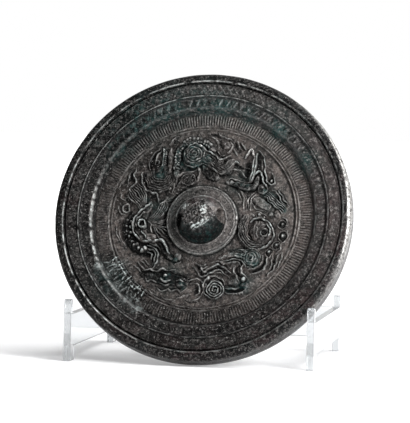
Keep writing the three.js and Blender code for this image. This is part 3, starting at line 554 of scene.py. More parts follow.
def drawField():
    # heights in mm; where the patina is dark, with painted shade; and where it is green, from 0 to 1
    f, k = reliefSet, knobSet
    s, d, t = (HeightSheet(f["half"], f["spacing"], base) for base in (f["base"], 0, 0))
    s.gain = f["gain"]
    for draw in f["figures"]:
        draw(s, d, t)
    s.gain = 1.0
    at = ringSet["at"]
    s.boss(at, ringSet["outer"], ringSet["level"] - f["base"], shape=0.07)
    for lip in ringSet["lips"]:
        s.ring(at, lip, ringSet["lipWidth"], ringSet["lipHeight"], add=True)
    s.ring(k["at"], k["radius"] + 0.35, 0.7, 0.55, add=True)
    t.ring(at, ringSet["outer"], 1.2, 0.3)
    # painted shade on the ring's left
    for arc in ringSet["dark"]:
        d.arc(at, *arc)
    d.boss((-11.6, -3.6), 2.2, 1.0, 1.6)  # painted shade at the mouth of the cord hole
    return s, d.blurred(f["darkBlur"]), t.blurred(f["greenBlur"])


def drawStrokes():
    # worn rows of short bars, of no script
    s = HeightSheet(strokeSet["half"], strokeSet["spacing"], 0)
    chance = np.random.default_rng(strokeSet["seed"])
    for radius, height in strokeSet["rows"]:
        for angle in np.arange(*strokeSet["angles"]):
            a = math.radians(angle + chance.uniform(-0.5, 0.5))
            out, along = np.array([math.cos(a), math.sin(a)]), np.array([-math.sin(a), math.cos(a)])
            middle = out * (radius + chance.uniform(-0.4, 0.4))
            reach = out * chance.uniform(1.1, 2.1) + along * chance.uniform(-0.6, 0.6)
            s.stroke((middle - reach, middle + reach), strokeSet["width"], height * chance.uniform(0.5, 1), tip=0.7)
            if chance.uniform() < 0.5:
                at, reach = middle + out * chance.uniform(-1.2, 1.2), along * chance.uniform(0.5, 1.1)
                s.stroke((at - reach, at + reach), strokeSet["width"], height * chance.uniform(0.4, 0.9), tip=0.7)
    return s


field, fieldDark, fieldGreen = drawField()
strokes = drawStrokes()
fieldRise = field.h - field.blurred(reliefSet["riseBlur"])
fieldShade = field.h - field.blurred(reliefSet["shadeBlur"])
print("relief drawn")


def only(piece):
    bpy.ops.object.select_all(action="DESELECT")
    piece.select_set(True)
    bpy.context.view_layer.objects.active = piece


def drawnPath(name, path):
    # one point, pushed along the path, in mm; left in edit mode
    bpy.ops.object.select_all(action="DESELECT")
    bpy.ops.mesh.primitive_plane_add(size=0.01)
    piece = bpy.context.active_object
    piece.name = name
    bpy.ops.object.mode_set(mode="EDIT")
    bpy.ops.mesh.merge(type="CENTER")
    bpy.ops.transform.translate(value=[v * mm for v in path[0]])
    for start, end in zip(path[:-1], path[1:]):
        bpy.ops.mesh.extrude_region_move(
            TRANSFORM_OT_translate={"value": [(v - u) * mm for u, v in zip(start, end)]})
    return piece


def turnedPiece(name, profile, steps, at=(0, 0)):
    # the profile of radii and heights, spun about the disc's axis and closed
    piece = drawnPath(name, [(r, 0, z) for r, z in profile])
    sectors = 20  # one sector is spun and the rest are its copies
    share = 2 * math.pi / sectors
    bpy.ops.mesh.select_all(action="SELECT")
    bpy.ops.mesh.spin(steps=steps // sectors, angle=share, center=(0, 0, 0), axis=(0, 0, 1))
    bpy.ops.mesh.select_all(action="SELECT")
    bpy.ops.mesh.spin(steps=sectors - 1, angle=share * (sectors - 1), center=(0, 0, 0), axis=(0, 0, 1), dupli=True)
    bpy.ops.mesh.select_all(action="SELECT")
    bpy.ops.mesh.remove_doubles(threshold=0.004 * mm)
    bpy.ops.mesh.normals_make_consistent(inside=False)
    bpy.ops.mesh.select_all(action="DESELECT")
    bpy.ops.object.mode_set(mode="OBJECT")
    piece.data.transform(Matrix.Translation((at[0] * mm, at[1] * mm, 0)))
    return piece


def points(piece):
    co = np.zeros(len(piece.data.vertices) * 3)
    piece.data.vertices.foreach_get("co", co)
    return co.reshape(-1, 3) / mm


def setPoints(piece, co):
    piece.data.vertices.foreach_set("co", (co * mm).ravel())
    piece.data.update()


def mark(piece, name, values):
    attribute = piece.data.attributes.new(name, "FLOAT", "POINT")
    attribute.data.foreach_set("value", unit(values).astype(np.float32))


def deepen(piece, name, values):
    # the larger of what is marked already and these values
    drawn = np.zeros(len(values), np.float32)
    if name in piece.data.attributes:
        piece.data.attributes[name].data.foreach_get("value", drawn)
        piece.data.attributes.remove(piece.data.attributes[name])
    mark(piece, name, np.maximum(drawn, values))


# where the surface has changed colour: (x, y, radius, strength) in mm on the face
patchSet = {
    "teal": [(-30, 40, 9, 0.8), (-18, 46, 9, 0.8), (-4, 49, 8, 0.7), (-38, 30, 8, 0.6), (-6, 28, 6, 0.9),
             (-19, 3, 6, 0.7), (-36, -28, 8, 0.4), (5, 48, 6, 0.9), (16, 44, 5, 0.7), (29, 38, 5, 0.9),
             (41, 25, 5, 0.7), (28, 8, 6, 0.5), (19, -28, 4, 0.6), (14, 16, 6, 0.5), (-13, -26, 6, 0.5),
             (28, 40, 10, 0.35)],
    "red": [(0, -57, 12, 0.7), (30, -48, 14, 0.6), (-28, -48, 10, 0.5), (56, -12, 14, 0.7), (56, 14, 14, 0.6),
            (45, -35, 12, 0.6), (-58, 6, 10, 0.4)],
    "pale": [(-35.5, -21.5, 2, 0.5), (-42, -23, 1.5, 0.5), (-38, -25.5, 1.5, 0.3), (-34, -31.5, 2, 0.25),
             (-29, -37, 2, 0.3), (-24.5, -40.5, 2, 0.45)],
}

# painted highlights: how bright the edges are painted and from which radius, at angles in degrees from the right,
# anticlockwise
paintedHighlightSet = {
    "border": ((0, 1), (40, 0.9), (65, 0.5), (90, 0.2), (125, 0.05), (300, 0.1), (335, 0.25), (350, 0.7), (360, 1)),
    "from": ((0, 60.2), (30, 61.2), (60, 62.1), (290, 62.1), (330, 61.3), (360, 60.6)),
    "circles": ((0, 0.3), (55, 0.3), (75, 0.7), (110, 0.6), (125, 0.2), (160, 0.6), (190, 1), (235, 1), (250, 0.25),
                (330, 0.2), (360, 0.3)),
    "step": ((0, 0.8), (9, 0.7), (15, 0.1), (60, 0.1), (120, 0.05), (155, 0.15), (166, 0.5), (174, 1), (206, 1),
             (210, 0.4), (226, 0.45), (240, 0.1), (340, 0.1), (352, 0.5), (360, 0.8))}

# painted shade: how dark the surface is painted, from 0 to 1, at the same angles
blackSet = {
    "stepFoot": ((0, 0.25), (90, 0.3), (150, 0.7), (230, 0.8), (300, 0.6), (360, 0.25)),
    "groove": ((0, 0.9), (40, 0.7), (60, 0.2), (330, 0.2), (345, 0.7), (360, 0.9)),
    "rim": ((0, 0.6), (30, 0.9), (100, 0.9), (200, 1), (285, 0.8), (330, 0.6), (360, 0.6)),
    "border": ((0, 0.05), (40, 0.1), (70, 0.3), (100, 0.5), (130, 1), (175, 1), (205, 0.9), (240, 0.9), (285, 0.95),
               (320, 0.85), (350, 0.2), (360, 0.05)),
    "comb": ((0, 0.05), (60, 0.1), (100, 0.3), (130, 0.8), (160, 0.8), (200, 0.6), (240, 1), (280, 0.95), (310, 0.5),
             (340, 0.1), (360, 0.05)),
    "field": ((0, 0.12), (60, 0.22), (100, 0.45), (130, 0.85), (160, 0.8), (190, 0.35), (230, 0.45), (270, 0.5),
              (300, 0.45), (340, 0.2), (360, 0.12)),
    "combFrom": (37, 4), "borderFrom": (45, 3), "rimFrom": (57.6, 0.6)}  # radius, and over how many mm


def paintedShadeByAngle(co):
    # painted shade: how dark the surface is painted, most at the left and bottom, and outwards
    p = blackSet
    r, a = polar(co)
    outer, comb, level, rim = (byAngle(a, p[k]) for k in ("border", "comb", "field", "rim"))
    past = {k: unit((r - p[k][0]) / p[k][1]) for k in ("combFrom", "borderFrom", "rimFrom")}
    level = level + (comb - level) * past["combFrom"]
    return np.maximum(level + (outer - level) * past["borderFrom"], rim * past["rimFrom"])


def markPatches(piece, co):
    front = unit(co[:, 2] / 1.5)
    if "crevice" not in piece.data.attributes:
        mark(piece, "crevice", np.zeros(len(co)))
    # the black mark starts as painted shade by angle
    if "black" not in piece.data.attributes:
        mark(piece, "black", front * paintedShadeByAngle(co))
    for name, spots in patchSet.items():
        total = np.zeros(len(co))
        for x, y, size, strength in spots:
            d = np.hypot(co[:, 0] - x, co[:, 1] - y) / size
            total = np.maximum(total, strength * np.exp(-d ** 2))
        deepen(piece, name, total * front)


bodySet = {
    "spinSteps": 1440, "rows": 46, "inner": 52.0, "back": (8, 16, 26, 36, 46, 54, 59, 61.5), "floor": 1.2,
    "side": ((62.2, 0.0), (62.44, 0.25), (62.5, 0.8), (62.5, 2.4), (62.5, 3.6), (62.5, 5.0), (62.5, 6.0)),
    "face": ((51.9, 6.9), (52.1, 7.2), (52.9, 7.3), (53.1, 7.4), (57.5, 7.5), (57.75, 7.0), (58.15, 6.9), (58.6, 8.1),
             (59.2, 8.35), (60.2, 8.35), (61.0, 8.15), (61.7, 7.75), (62.2, 7.15), (62.5, 6.3)),
    "circles": ((52.55, 0.6, 0.6), (57.6, 0.5, 0.45)),  # radius, height and width
    "zigzags": 60, "zigBand": (53.5, 57.1), "zigHeight": 0.22, "zigWidth": 0.6, "zigWorn": (0.8, 0.7, 14, 31, 0.1),
    "zigKept": ((0, 0.15), (55, 0.35), (75, 1), (105, 1), (125, 0.4), (150, 0.5), (200, 0.6), (240, 0.3),
                (300, 0.15), (360, 0.15)),
    "uneven": (0.05, 9, 3), "swell": (0.0007, 12, 7), "circleHighlightBreakup": (0.7, 0.8, 6, 43),
    "circleHighlights": ((58.9, 0.5, 1.1, 0.45, 0.8), (52.55, 0.45, 1.1, 0.4, 0.5)),  # radius, and the painted highlight's width and strength, first as bright metal, then as pale colour
    "dirt": (0.2, 52.9, 57.6, 0.3), "groove": (57.9, 58.3, 0.2), "seam": (0.6, 52.8, 53.3, 0.2)}


def bodyLevel(r, a):
    # heights of the zigzag band, its bordering circles and the plain border
    b = bodySet
    inner, outer = b["zigBand"]
    slope = (outer - inner) / (math.pi * (inner + outer) / 2 / b["zigzags"])
    lines = np.zeros(r.shape)
    for phase in (0.0, 0.5):
        off = (r - inner - (outer - inner) * wave(a, b["zigzags"], phase)) / math.hypot(1, slope)
        lines = np.maximum(lines, bump(off, b["zigWidth"]))
    kept = byAngle(a, b["zigKept"]) * patchy(r * np.cos(a), r * np.sin(a), *b["zigWorn"])  # worn away in places
    lines = lines * band(r, inner - 0.3, outer + 0.3) * kept
    level = np.interp(r, *zip(*b["face"])) + b["zigHeight"] * lines
    for middle, height, width in b["circles"]:
        level = level + height * bump(r - middle, width)
    return level, lines


def makeBody():
    # back, side, border and zigzag band, closed by a floor under the inner bands
    b, bulge, radius = bodySet, discSet["backBulge"], discSet["radius"]
    rows = [(0, bulge)] + [(r, bulge * (1 - (r / radius) ** 2)) for r in b["back"]]
    rows += b["side"]
    rows += [(r, 8) for r in even(radius - 0.01, b["inner"], b["rows"])]
    rows += [(b["inner"], b["floor"]), (0, b["floor"])]
    piece = turnedPiece("mirrorBorder", rows, b["spinSteps"])
    co = points(piece)
    r, a = polar(co)
    top = (co[:, 2] > 7) & (r > b["inner"] - 0.1)
    z, lines = bodyLevel(r, a)
    height, *grain = b["uneven"]
    co[:, 2] = np.where(top, z + height * rough(co[:, 0], co[:, 1], *grain), co[:, 2])
    rim = (r > 62.3) & (co[:, 2] > 0.5)
    height, *grain = b["swell"]
    swell = np.where(rim, 1 + height * rough(a * 62, co[:, 2], *grain), 1)
    co[:, :2] *= np.minimum(swell, 1)[:, None]
    setPoints(piece, co)
    # painted highlight along the rim's outer edge, brightest at the right, and painted highlights on the two fine
    # circles
    edge = unit((r - byAngle(a, paintedHighlightSet["from"])) / 0.5) * (co[:, 2] > 5)
    bright = byAngle(a, paintedHighlightSet["circles"]) * patchy(co[:, 0], co[:, 1], *b["circleHighlightBreakup"])
    wearAndHighlight, pale = 0.12 * lines, 0
    for middle, highlightWidth, highlightPart, paleWidth, palePart in b["circleHighlights"]:
        wearAndHighlight = wearAndHighlight + highlightPart * bright * bump(r - middle, highlightWidth)
        pale = pale + palePart * bright * bump(r - middle, paleWidth)
    mark(piece, "wearAndHighlight", top * wearAndHighlight + edge * byAngle(a, paintedHighlightSet["border"]))
    mark(piece, "pale", top * unit(pale))
    mark(piece, "dirt", top * zone(r, *b["dirt"]) * (1 - lines))
    # painted shade in the groove, weaker under the painted highlight, and a dark seam line
    mark(piece, "crevice", top * np.maximum((1 - 0.6 * bright) * band(r, *b["groove"]), zone(r, *b["seam"])))
    markPatches(piece, co)
    return piece


bandSet = {
    "spinSteps": 1440, "outer": 52.3, "inner": 38.2, "rows": 60, "under": 1.0, "uneven": (0.06, 8, 5),
    "face": ((39.2, 2.7), (40.4, 2.9), (46.0, 3.1), (46.4, 3.6), (46.9, 5.0), (47.4, 6.35), (48.1, 6.95),
             (51.3, 6.7), (51.9, 7.6)),
    "circles": (39.0, 40.2), "circleWidth": 0.55, "circleHeight": 0.7,
    "sawTeeth": 98, "sawBase": 51.3, "sawTip": 47.9, "sawHeight": 0.5, "sawEdge": 0.35,
    "sawWorn": (0.7, 0.7, 12, 32, 0.2),
    "sawKept": ((0, 0.6), (60, 0.9), (110, 1), (130, 0.6), (180, 0.7), (230, 0.4), (300, 0.4), (360, 0.6)),
    "combTeeth": 240, "combBand": (40.9, 45.1, 0.5), "combHeight": 0.75,
    "combKept": ((0, 0.8), (90, 1), (130, 0.8), (160, 0.4), (200, 0.25), (280, 0.35), (310, 0.7), (360, 0.8)),
    "patchy": (0.6, 0.7, 7, 41), "broken": (0.75, 0.8, 4, 42),
    # each: strength, from and to which radius, and how soft
    # the bright parts of the step and the inner circle are painted highlights, and the dark parts are painted shade
    # in the hollows, at the step's foot, in the groove and at the seam
    "stepWear": (1, 47.0, 47.7, 0.3), "lineWear": (0.6, 40.2, 40.8, 0.3), "stepPale": (0.7, 47.1, 47.6, 0.3),
    "combDirt": (0.75, 40.6, 45.8, 0.6), "sawDirt": (0.15, 47.9, 51.6, 0.4), "edgeDirt": (0.8, 37, 40.6, 0.6),
    "combDark": (0.4, 40.9, 45.1, 0.4), "footDark": (1, 45.6, 46.5, 0.4), "sawDark": (0.3, 48.2, 51.4, 0.3),
    "grooveDark": (1, 38.0, 38.7, 0.3), "seamDark": (0.7, 51.4, 52.2, 0.3), "strokesDark": (0.6, 38, 46.5, 1)}


def bandLevel(r, a):
    # heights of the sawteeth, the step, the comb, the two circles and the strokes
    b = bandSet
    x, y = r * np.cos(a), r * np.sin(a)
    share = (r - b["sawTip"]) / (b["sawBase"] - b["sawTip"])  # 0 at the tips, 1 at the bases
    pitch = 2 * math.pi * r / b["sawTeeth"]
    teeth = unit((wave(a, b["sawTeeth"]) - (1 - share)) * pitch / 2 / b["sawEdge"]) * (share > 0) * (share < 1.06)
    teeth = teeth * patchy(x, y, *b["sawWorn"]) * byAngle(a, b["sawKept"])
    u, v, size = strokeSet["cleared"]
    cleared = unit(1.6 - np.hypot(x - u, y - v) / size)
    comb = unit((wave(a, b["combTeeth"]) - 0.32) / 0.4) * band(r, *b["combBand"]) * byAngle(a, b["combKept"])
    comb = comb * (1 - cleared)
    written = strokes.read(strokes.h, x, y) * unit((strokeSet["end"] - r) / 1.5)
    level = np.interp(r, *zip(*b["face"])) + b["sawHeight"] * teeth ** 0.7
    for middle in b["circles"]:
        level = level + b["circleHeight"] * bump(r - middle, b["circleWidth"])
    return level + b["combHeight"] * comb + strokeSet["rise"] * written, teeth, comb, written, cleared


def makeBands():
    b = bandSet
    rows = [(b["outer"], b["under"])] + [(r, 7) for r in even(b["outer"], b["inner"], b["rows"])]
    rows += [(b["inner"], b["under"]), (b["outer"], b["under"])]
    piece = turnedPiece("mirrorBands", rows, b["spinSteps"])
    co = points(piece)
    x, y, (r, a) = co[:, 0], co[:, 1], polar(co)
    top = co[:, 2] > 5
    z, teeth, comb, written, cleared = bandLevel(r, a)
    height, *grain = b["uneven"]
    co[:, 2] = np.where(top, z + height * rough(x, y, *grain), co[:, 2])
    setPoints(piece, co)
    circles = sum(bump(r - middle, 0.6) for middle in b["circles"])
    patches, broken = patchy(x, y, *b["patchy"]), patchy(x, y, *b["broken"])
    # painted highlight along the step and the inner circle, by angle
    highlightByAngle = byAngle(a, paintedHighlightSet["step"]) * broken
    foot, groove = (byAngle(a, blackSet[k]) for k in ("stepFoot", "groove"))
    part = {k: zone(r, *v) for k, v in b.items() if k.endswith(("Wear", "Pale", "Dirt", "Dark"))}
    mark(piece, "wearAndHighlight", top * (patches * (0.15 * teeth ** 2 + 0.25 * comb + 0.3 * circles)
                               + highlightByAngle * (part["stepWear"] + part["lineWear"])))
    mark(piece, "dirt", top * (1 - 0.8 * cleared) * (part["combDirt"] + part["sawDirt"] * (1 - teeth)
                                                     + part["edgeDirt"]))
    # painted shade between the teeth, at the step's foot, in the groove and at the seam
    mark(piece, "crevice", top * (patches * part["combDark"] * (1 - comb) + foot * part["footDark"]
                                  + part["sawDark"] * (1 - teeth) ** 2 + groove * part["grooveDark"]
                                  + part["seamDark"]))
    # the strokes' own pale colour, and the painted highlight on the step
    mark(piece, "pale", top * unit(written * 1.4 + highlightByAngle * part["stepPale"]))
    # the strokes' dark ground, and painted shade by angle
    mark(piece, "black", unit(top * cleared * part["strokesDark"] + paintedShadeByAngle(co)))
    markPatches(piece, co)
    return piece


def makeField(name, inner, outer):
    f = reliefSet
    rows = [(inner, f["under"])] + [(r, 3) for r in even(inner, outer, f["rows"])]
    rows += [(outer, f["under"]), (inner, f["under"])]
    piece = turnedPiece(name, rows, f["spinSteps"])
    co = points(piece)
    x, y, (r, a) = co[:, 0], co[:, 1], polar(co)
    top = co[:, 2] > 2.5
    fromRing = np.hypot(x - ringSet["at"][0], y - ringSet["at"][1]) - ringSet["outer"]
    fromKnob = np.hypot(x - knobSet["at"][0], y - knobSet["at"][1]) - knobSet["radius"]
    size, scale, *seeds = f["wobble"]
    u, v = (w + size * unit(fromRing / 1.5) * rough(x, y, scale, seed) for w, seed in zip((x, y), seeds))
    swell, uneven, grain = (k[0] * rough(x, y, *k[1:]) for k in (f["swell"], f["uneven"], f["grain"]))
    level = field.read(field.h, u, v)
    z = np.where(fromRing < -0.1, level, f["base"] + (level - f["base"]) * (1 + swell) + uneven)
    co[:, 2] = np.where(top, z + grain - f["underKnob"] * (fromKnob < -0.6), co[:, 2])
    setPoints(piece, co)
    rise, shade = field.read(fieldRise, u, v), field.read(fieldShade, u, v)
    dark, green = (unit(field.read(sheet, u, v)) for sheet in (fieldDark, fieldGreen))
    onRing = unit(-fromRing / 0.4)
    groove = band(r, *f["groove"]) * byAngle(a, blackSet["groove"])
    black = paintedShadeByAngle(co)
    # painted highlights on the ridges, with their wear: less in the painted shade, more at the lit places
    ridge = unit(rise * (2.9 - 0.6 * onRing) - 0.25 - 0.35 * dark + 0.25 * rough(x, y, 2.2, 17)) * (rise > 0.02)
    ridge = ridge * (1 - 0.45 * black) * patchy(x, y, *f["ridgeBreakup"]) * (0.88 + 1.2 * glow(x, y, f["lit"]))
    angle = np.degrees(np.arctan2(y - knobSet["at"][1], x - knobSet["at"][0]))
    # a painted highlight on the arc round the knob's foot
    lip = band(fromKnob, *f["lip"]) * unit((f["lipReach"] - np.abs(angle - f["lipMiddle"])) / 15)
    mark(piece, "wearAndHighlight", top * (ridge + 0.1 * onRing + lip))
    mark(piece, "pale", top * unit(ridge * unit((rise - 0.45) * 2.2) + 0.6 * lip))
    ground = np.clip(0.82 + 0.35 * rough(x, y, 7, 18) + 0.2 * rough(x, y, 2.5, 19), 0.2, 1)
    bare = (1 - dark) * (1 - 0.5 * green) * (1 - 0.6 * np.abs(shade)) * (1 - 0.5 * onRing)
    mark(piece, "dirt", top * ground * unit(bare))
    # painted shade in the hollows beside raised parts, under the dark sheet and in the groove
    mark(piece, "crevice", top * unit(fromKnob - 0.6) * unit(0.75 * dark ** 1.5 - 1.5 * rise - 0.5 * shade + groove))
    # dark patina with its painted shade, and painted shade by angle
    mark(piece, "black", top * unit(dark + black))
    mark(piece, "teal", top * unit(1.9 * green))
    markPatches(piece, co)
    return piece


def makeKnob():
    k = knobSet
    rows = [(0, k["top"])]
    for t in even(0, math.pi / 2, k["rows"])[1:]:
        rows.append((k["radius"] * math.sin(t) ** 0.92, k["foot"] + (k["top"] - k["foot"]) * math.cos(t)))
    rows += [(k["radius"] + 0.1, k["under"]), (0, k["under"])]
    piece = turnedPiece("mirrorKnob", rows, k["steps"], k["at"])
    co = points(piece)
    x, y = co[:, 0] - k["at"][0], co[:, 1] - k["at"][1]
    dome = unit((co[:, 2] - k["foot"]) / 2)
    fromWorn = np.hypot(x - k["wornAt"][0], y - k["wornAt"][1])
    worn = unit((k["wornReach"] - fromWorn + rough(x, y, 5, 21)) / 1.2) * dome
    pits = unit(rough(x, y, 1.5, 22) - 0.1) + 0.7 * unit(rough(x, y, 0.8, 25))
    sag = worn * (0.3 + 0.8 * pits + 0.3 * rough(x, y, 3.2, 26)) + 0.06 * rough(x, y, 2.6, 23) * dome
    co[:, 2] -= unit(sag)
    setPoints(piece, co)
    # the shines are painted highlights, laid into the wear and pale marks with the worn top's real wear
    shine = glow(x, y, k["shines"]) * patchy(x, y, 0.9, 1.0, 1.1, 28, 0, 1.5)
    mark(piece, "wearAndHighlight", (worn * (0.12 + 0.4 * rough(x, y, 1.4, 24)) + 1.5 * shine) * (1 - unit((y - 4.5) / 2)))
    mark(piece, "red", 0.9 * unit((y - 3) / 3) * dome)
    # painted shade on the knob's lower and left sides, away from the worn top
    mark(piece, "black", unit(np.maximum(0.45 * x - y, -x - 4.5) / 3) * (1 - worn))
    dust = np.exp(-((x - k["dustAt"][0]) ** 2 + (y - k["dustAt"][1]) ** 2) / k["dustSize"])
    mark(piece, "dirt", 0.8 * dust + 0.6 * worn * unit(rough(x, y, 3, 27)))
    mark(piece, "teal", unit((0.1 * x - y - 0.5 - 2 * worn) / 4) * dome)
    u, v, across, along = k["mouth"]
    mouth = np.exp(-(((x - u) / across) ** 2 + ((y - v) / along) ** 2) ** 2)  # painted shade: black round the left end of the hole
    # painted shade on the knob's lower side; the pits of the worn top darkened, except under the painted highlights
    side = np.clip((0.2 * x - y - 1) / 4, 0, 0.65) * (1 - worn)
    mark(piece, "crevice", side + 0.8 * worn * unit(pits) * (1 - unit(shine)) + mouth)
    mark(piece, "pale", unit(1.5 * shine - 0.25))
    markPatches(piece, co)
    boreKnob(piece)
    return piece


def boreKnob(piece):
    # the arched hole for a cord goes right through, from side to side
    k = knobSet
    half, (atX, atY) = k["holeWidth"] / 2, k["at"]
    crown = k["foot"] + k["holeHeight"] - half
    arch = [(atY - half, k["foot"] - 0.3), (atY + half, k["foot"] - 0.3)]
    arch += [(atY + half * math.cos(t), crown + half * math.sin(t)) for t in even(0, math.pi, k["holeSteps"])]
    drill = drawnPath("drill", [(atX - k["holeReach"], y, z) for y, z in arch])
    bpy.ops.mesh.select_all(action="SELECT")
    bpy.ops.mesh.edge_face_add()
    bpy.ops.mesh.extrude_region_move(TRANSFORM_OT_translate={"value": (2 * k["holeReach"] * mm, 0, 0)})
    bpy.ops.mesh.select_all(action="SELECT")
    bpy.ops.mesh.normals_make_consistent(inside=False)
    bpy.ops.object.mode_set(mode="OBJECT")
    middle, turn = Matrix.Translation((atX * mm, atY * mm, 0)), math.radians(k["holeTurn"])
    drill.data.transform(middle @ Matrix.Rotation(turn, 4, "Z") @ middle.inverted())
    bpy.context.view_layer.objects.active = piece
    cut = piece.modifiers.new("cordHole", "BOOLEAN")
    cut.object, cut.operation, cut.solver = drill, "DIFFERENCE", "EXACT"
    bpy.ops.object.modifier_apply(modifier=cut.name)
    bpy.data.objects.remove(drill)
    co = points(piece) - [atX, atY, 0]
    across = np.abs(co[:, 1] * math.cos(turn) - co[:, 0] * math.sin(turn))
    rise = np.where(across < half, np.sqrt(np.maximum(half ** 2 - across ** 2, 0)), 0)
    inside = (across < half + 0.05) & (co[:, 2] < crown + rise + 0.05)
    leftEnd, rightEnd = inside * (co[:, 0] < 0), inside * (co[:, 0] > 0)  # the right end is choked with dust
    # painted shade inside the hole's left end
    for name, values in (("crevice", leftEnd), ("black", leftEnd), ("dirt", rightEnd)):
        deepen(piece, name, values * 1.0)


def settle(piece):
    # smooth the piece and put it in its place on the stand
    only(piece)
    bpy.ops.object.shade_smooth_by_angle(angle=math.radians(40))
    piece.data.transform(discPlace)
    piece.data.update()
    return piece


border = makeBody()
bands = makeBands()
relief = [makeField(*ring) for ring in reliefSet["rings"]]
knob = makeKnob()
casting = [settle(p) for p in (border, bands, *relief, knob)]
for piece in casting:
    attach(piece, "root")
    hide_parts("mirror", "mirror_knob")
print("casting turned:", [len(p.data.vertices) for p in casting])

acrylicSet = {"edge": 0.25, "ior": 1.49, "hazeSpots": (300, 0.5, 0.8), "haze": 0.05,
              # roughness, how clear, and tint
              "face": (0.015, 1.0, (0.76, 0.775, 0.785, 1)), "cutEdge": (0.12, 0.8, (0.62, 0.64, 0.65, 1)),
              "nodes": ("stand_side_left", "stand_side_right", "stand_rear_panel", "stand_back_strut")}


def clearSheet(node):
    # the sheet as cut, with its edges polished round
    piece = bpy.data.objects.new(node + "_clear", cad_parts[node].data.copy())
    bpy.context.scene.collection.objects.link(piece)
    only(piece)
    bpy.ops.object.mode_set(mode="EDIT")
    bpy.ops.mesh.select_all(action="SELECT")
    bpy.ops.mesh.remove_doubles(threshold=0.01 * mm)
    bpy.ops.mesh.dissolve_limited(angle_limit=math.radians(1))
    bpy.ops.mesh.normals_make_consistent(inside=False)
    bpy.ops.object.mode_set(mode="OBJECT")
    polish = piece.modifiers.new("polish", "BEVEL")
    polish.width, polish.segments, polish.limit_method = acrylicSet["edge"] * mm, 2, "ANGLE"
    bpy.ops.object.modifier_apply(modifier=polish.name)
    bpy.ops.object.shade_flat()
    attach(piece, "root")
    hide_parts(node)
    return piece


sheets = [clearSheet(node) for node in acrylicSet["nodes"]]
print("stand cut")


def add(tree, kind, settings=None, **values):
    n = tree.nodes.new(kind)
    for key, value in (settings or {}).items():
        setattr(n, key, value)
    for key, value in values.items():
        n.inputs[key.replace("_", " ")].default_value = value
    return n


def join(tree, *pairs):
    for a, b in pairs:
        tree.links.new(a, b)


def smoothRange(tree, value, source, target=(0, 1)):
    # value taken smoothly from one range to another
    n = add(tree, "ShaderNodeMapRange", {"interpolation_type": "SMOOTHSTEP"}, From_Min=source[0], From_Max=source[1],
            To_Min=target[0], To_Max=target[1])
    join(tree, (value, n.inputs["Value"]))
    return n.outputs["Result"]


def newGroup(name, inputs, output):
    group = bpy.data.node_groups.new(name, "ShaderNodeTree")
    group.interface.new_socket("Vector", in_out="INPUT", socket_type="NodeSocketVector")
    for label, value in inputs:
        group.interface.new_socket(label, in_out="INPUT", socket_type="NodeSocketFloat").default_value = value
    group.interface.new_socket(output, in_out="OUTPUT", socket_type="NodeSocketFloat")
    return group, group.nodes.new("NodeGroupInput").outputs, group.nodes.new("NodeGroupOutput").inputs


def mottleGroup():
    # blotches between 0 and 1
    g, i, o = newGroup("mottle", (("Scale", 200.0), ("Low", 0.4), ("High", 0.6), ("Roughness", 0.6)), "Mask")
    noise = add(g, "ShaderNodeTexNoise", None, Detail=6)
    ramp = add(g, "ShaderNodeMapRange", {"interpolation_type": "SMOOTHSTEP"})
    join(g, (i["Vector"], noise.inputs["Vector"]), (i["Scale"], noise.inputs["Scale"]),
         (i["Roughness"], noise.inputs["Roughness"]), (noise.outputs["Fac"], ramp.inputs["Value"]),
         (i["Low"], ramp.inputs["From Min"]), (i["High"], ramp.inputs["From Max"]),
         (ramp.outputs["Result"], o["Mask"]))
    return g


def grainGroup():
    # height of a cast and corroded skin: fine grain with pits
    g, i, o = newGroup("castGrain", (("Fine", 2500.0), ("Pits", 900.0)), "Height")
    noise = add(g, "ShaderNodeTexNoise", None, Detail=5, Roughness=0.65)
    pits = add(g, "ShaderNodeTexVoronoi")
    mix = add(g, "ShaderNodeMath", {"operation": "MULTIPLY_ADD"})
    mix.inputs[1].default_value = 0.6
    join(g, (i["Vector"], noise.inputs["Vector"]), (i["Vector"], pits.inputs["Vector"]),
         (i["Fine"], noise.inputs["Scale"]), (i["Pits"], pits.inputs["Scale"]),
         (smoothRange(g, pits.outputs["Distance"], (0, 0.35)), mix.inputs[0]), (noise.outputs["Fac"], mix.inputs[2]),
         (mix.outputs[0], o["Height"]))
    return g


mottle, castGrain = mottleGroup(), grainGroup()

# worn paints bare metal and also painted highlights and glints; pale paints pale patina, strokes and painted
# highlights; deep paints black patina, pits and painted shade
bronzeColours = {
    "dark": (0.012, 0.012, 0.012, 1), "brown": (0.038, 0.030, 0.031, 1), "dust": (0.135, 0.109, 0.097, 1),
    "teal": (0.010, 0.042, 0.040, 1), "red": (0.042, 0.024, 0.025, 1), "pale": (0.46, 0.51, 0.50, 1),
    "worn": (0.60, 0.59, 0.57, 1), "deep": (0.003, 0.003, 0.003, 1), "speck": (0.24, 0.225, 0.215, 1),
}
# the blotches of each colour: scale, where they begin and are full, and roughness
bronzeSpots = {
    "brown": (110, 0.38, 0.66), "red": (160, 0.42, 0.6), "dust": (420, 0.3, 0.62, 0.7),
    "teal": (260, 0.36, 0.56, 0.65), "black": (330, 0.40, 0.56, 0.7), "worn": (420, 0.34, 0.58, 0.7),
    "speck": (1000, 0.52, 0.60, 0.75), "pit": (800, 0.50, 0.59, 0.75), "glint": (1200, 0.59, 0.66, 0.75),
    "pale": (900, 0.44, 0.55, 0.7), "gloss": (500, 0.3, 0.7),
}
bronzeGrain = {"Fine": 900, "Pits": 600, "strength": 0.6, "distance": 0.0002}


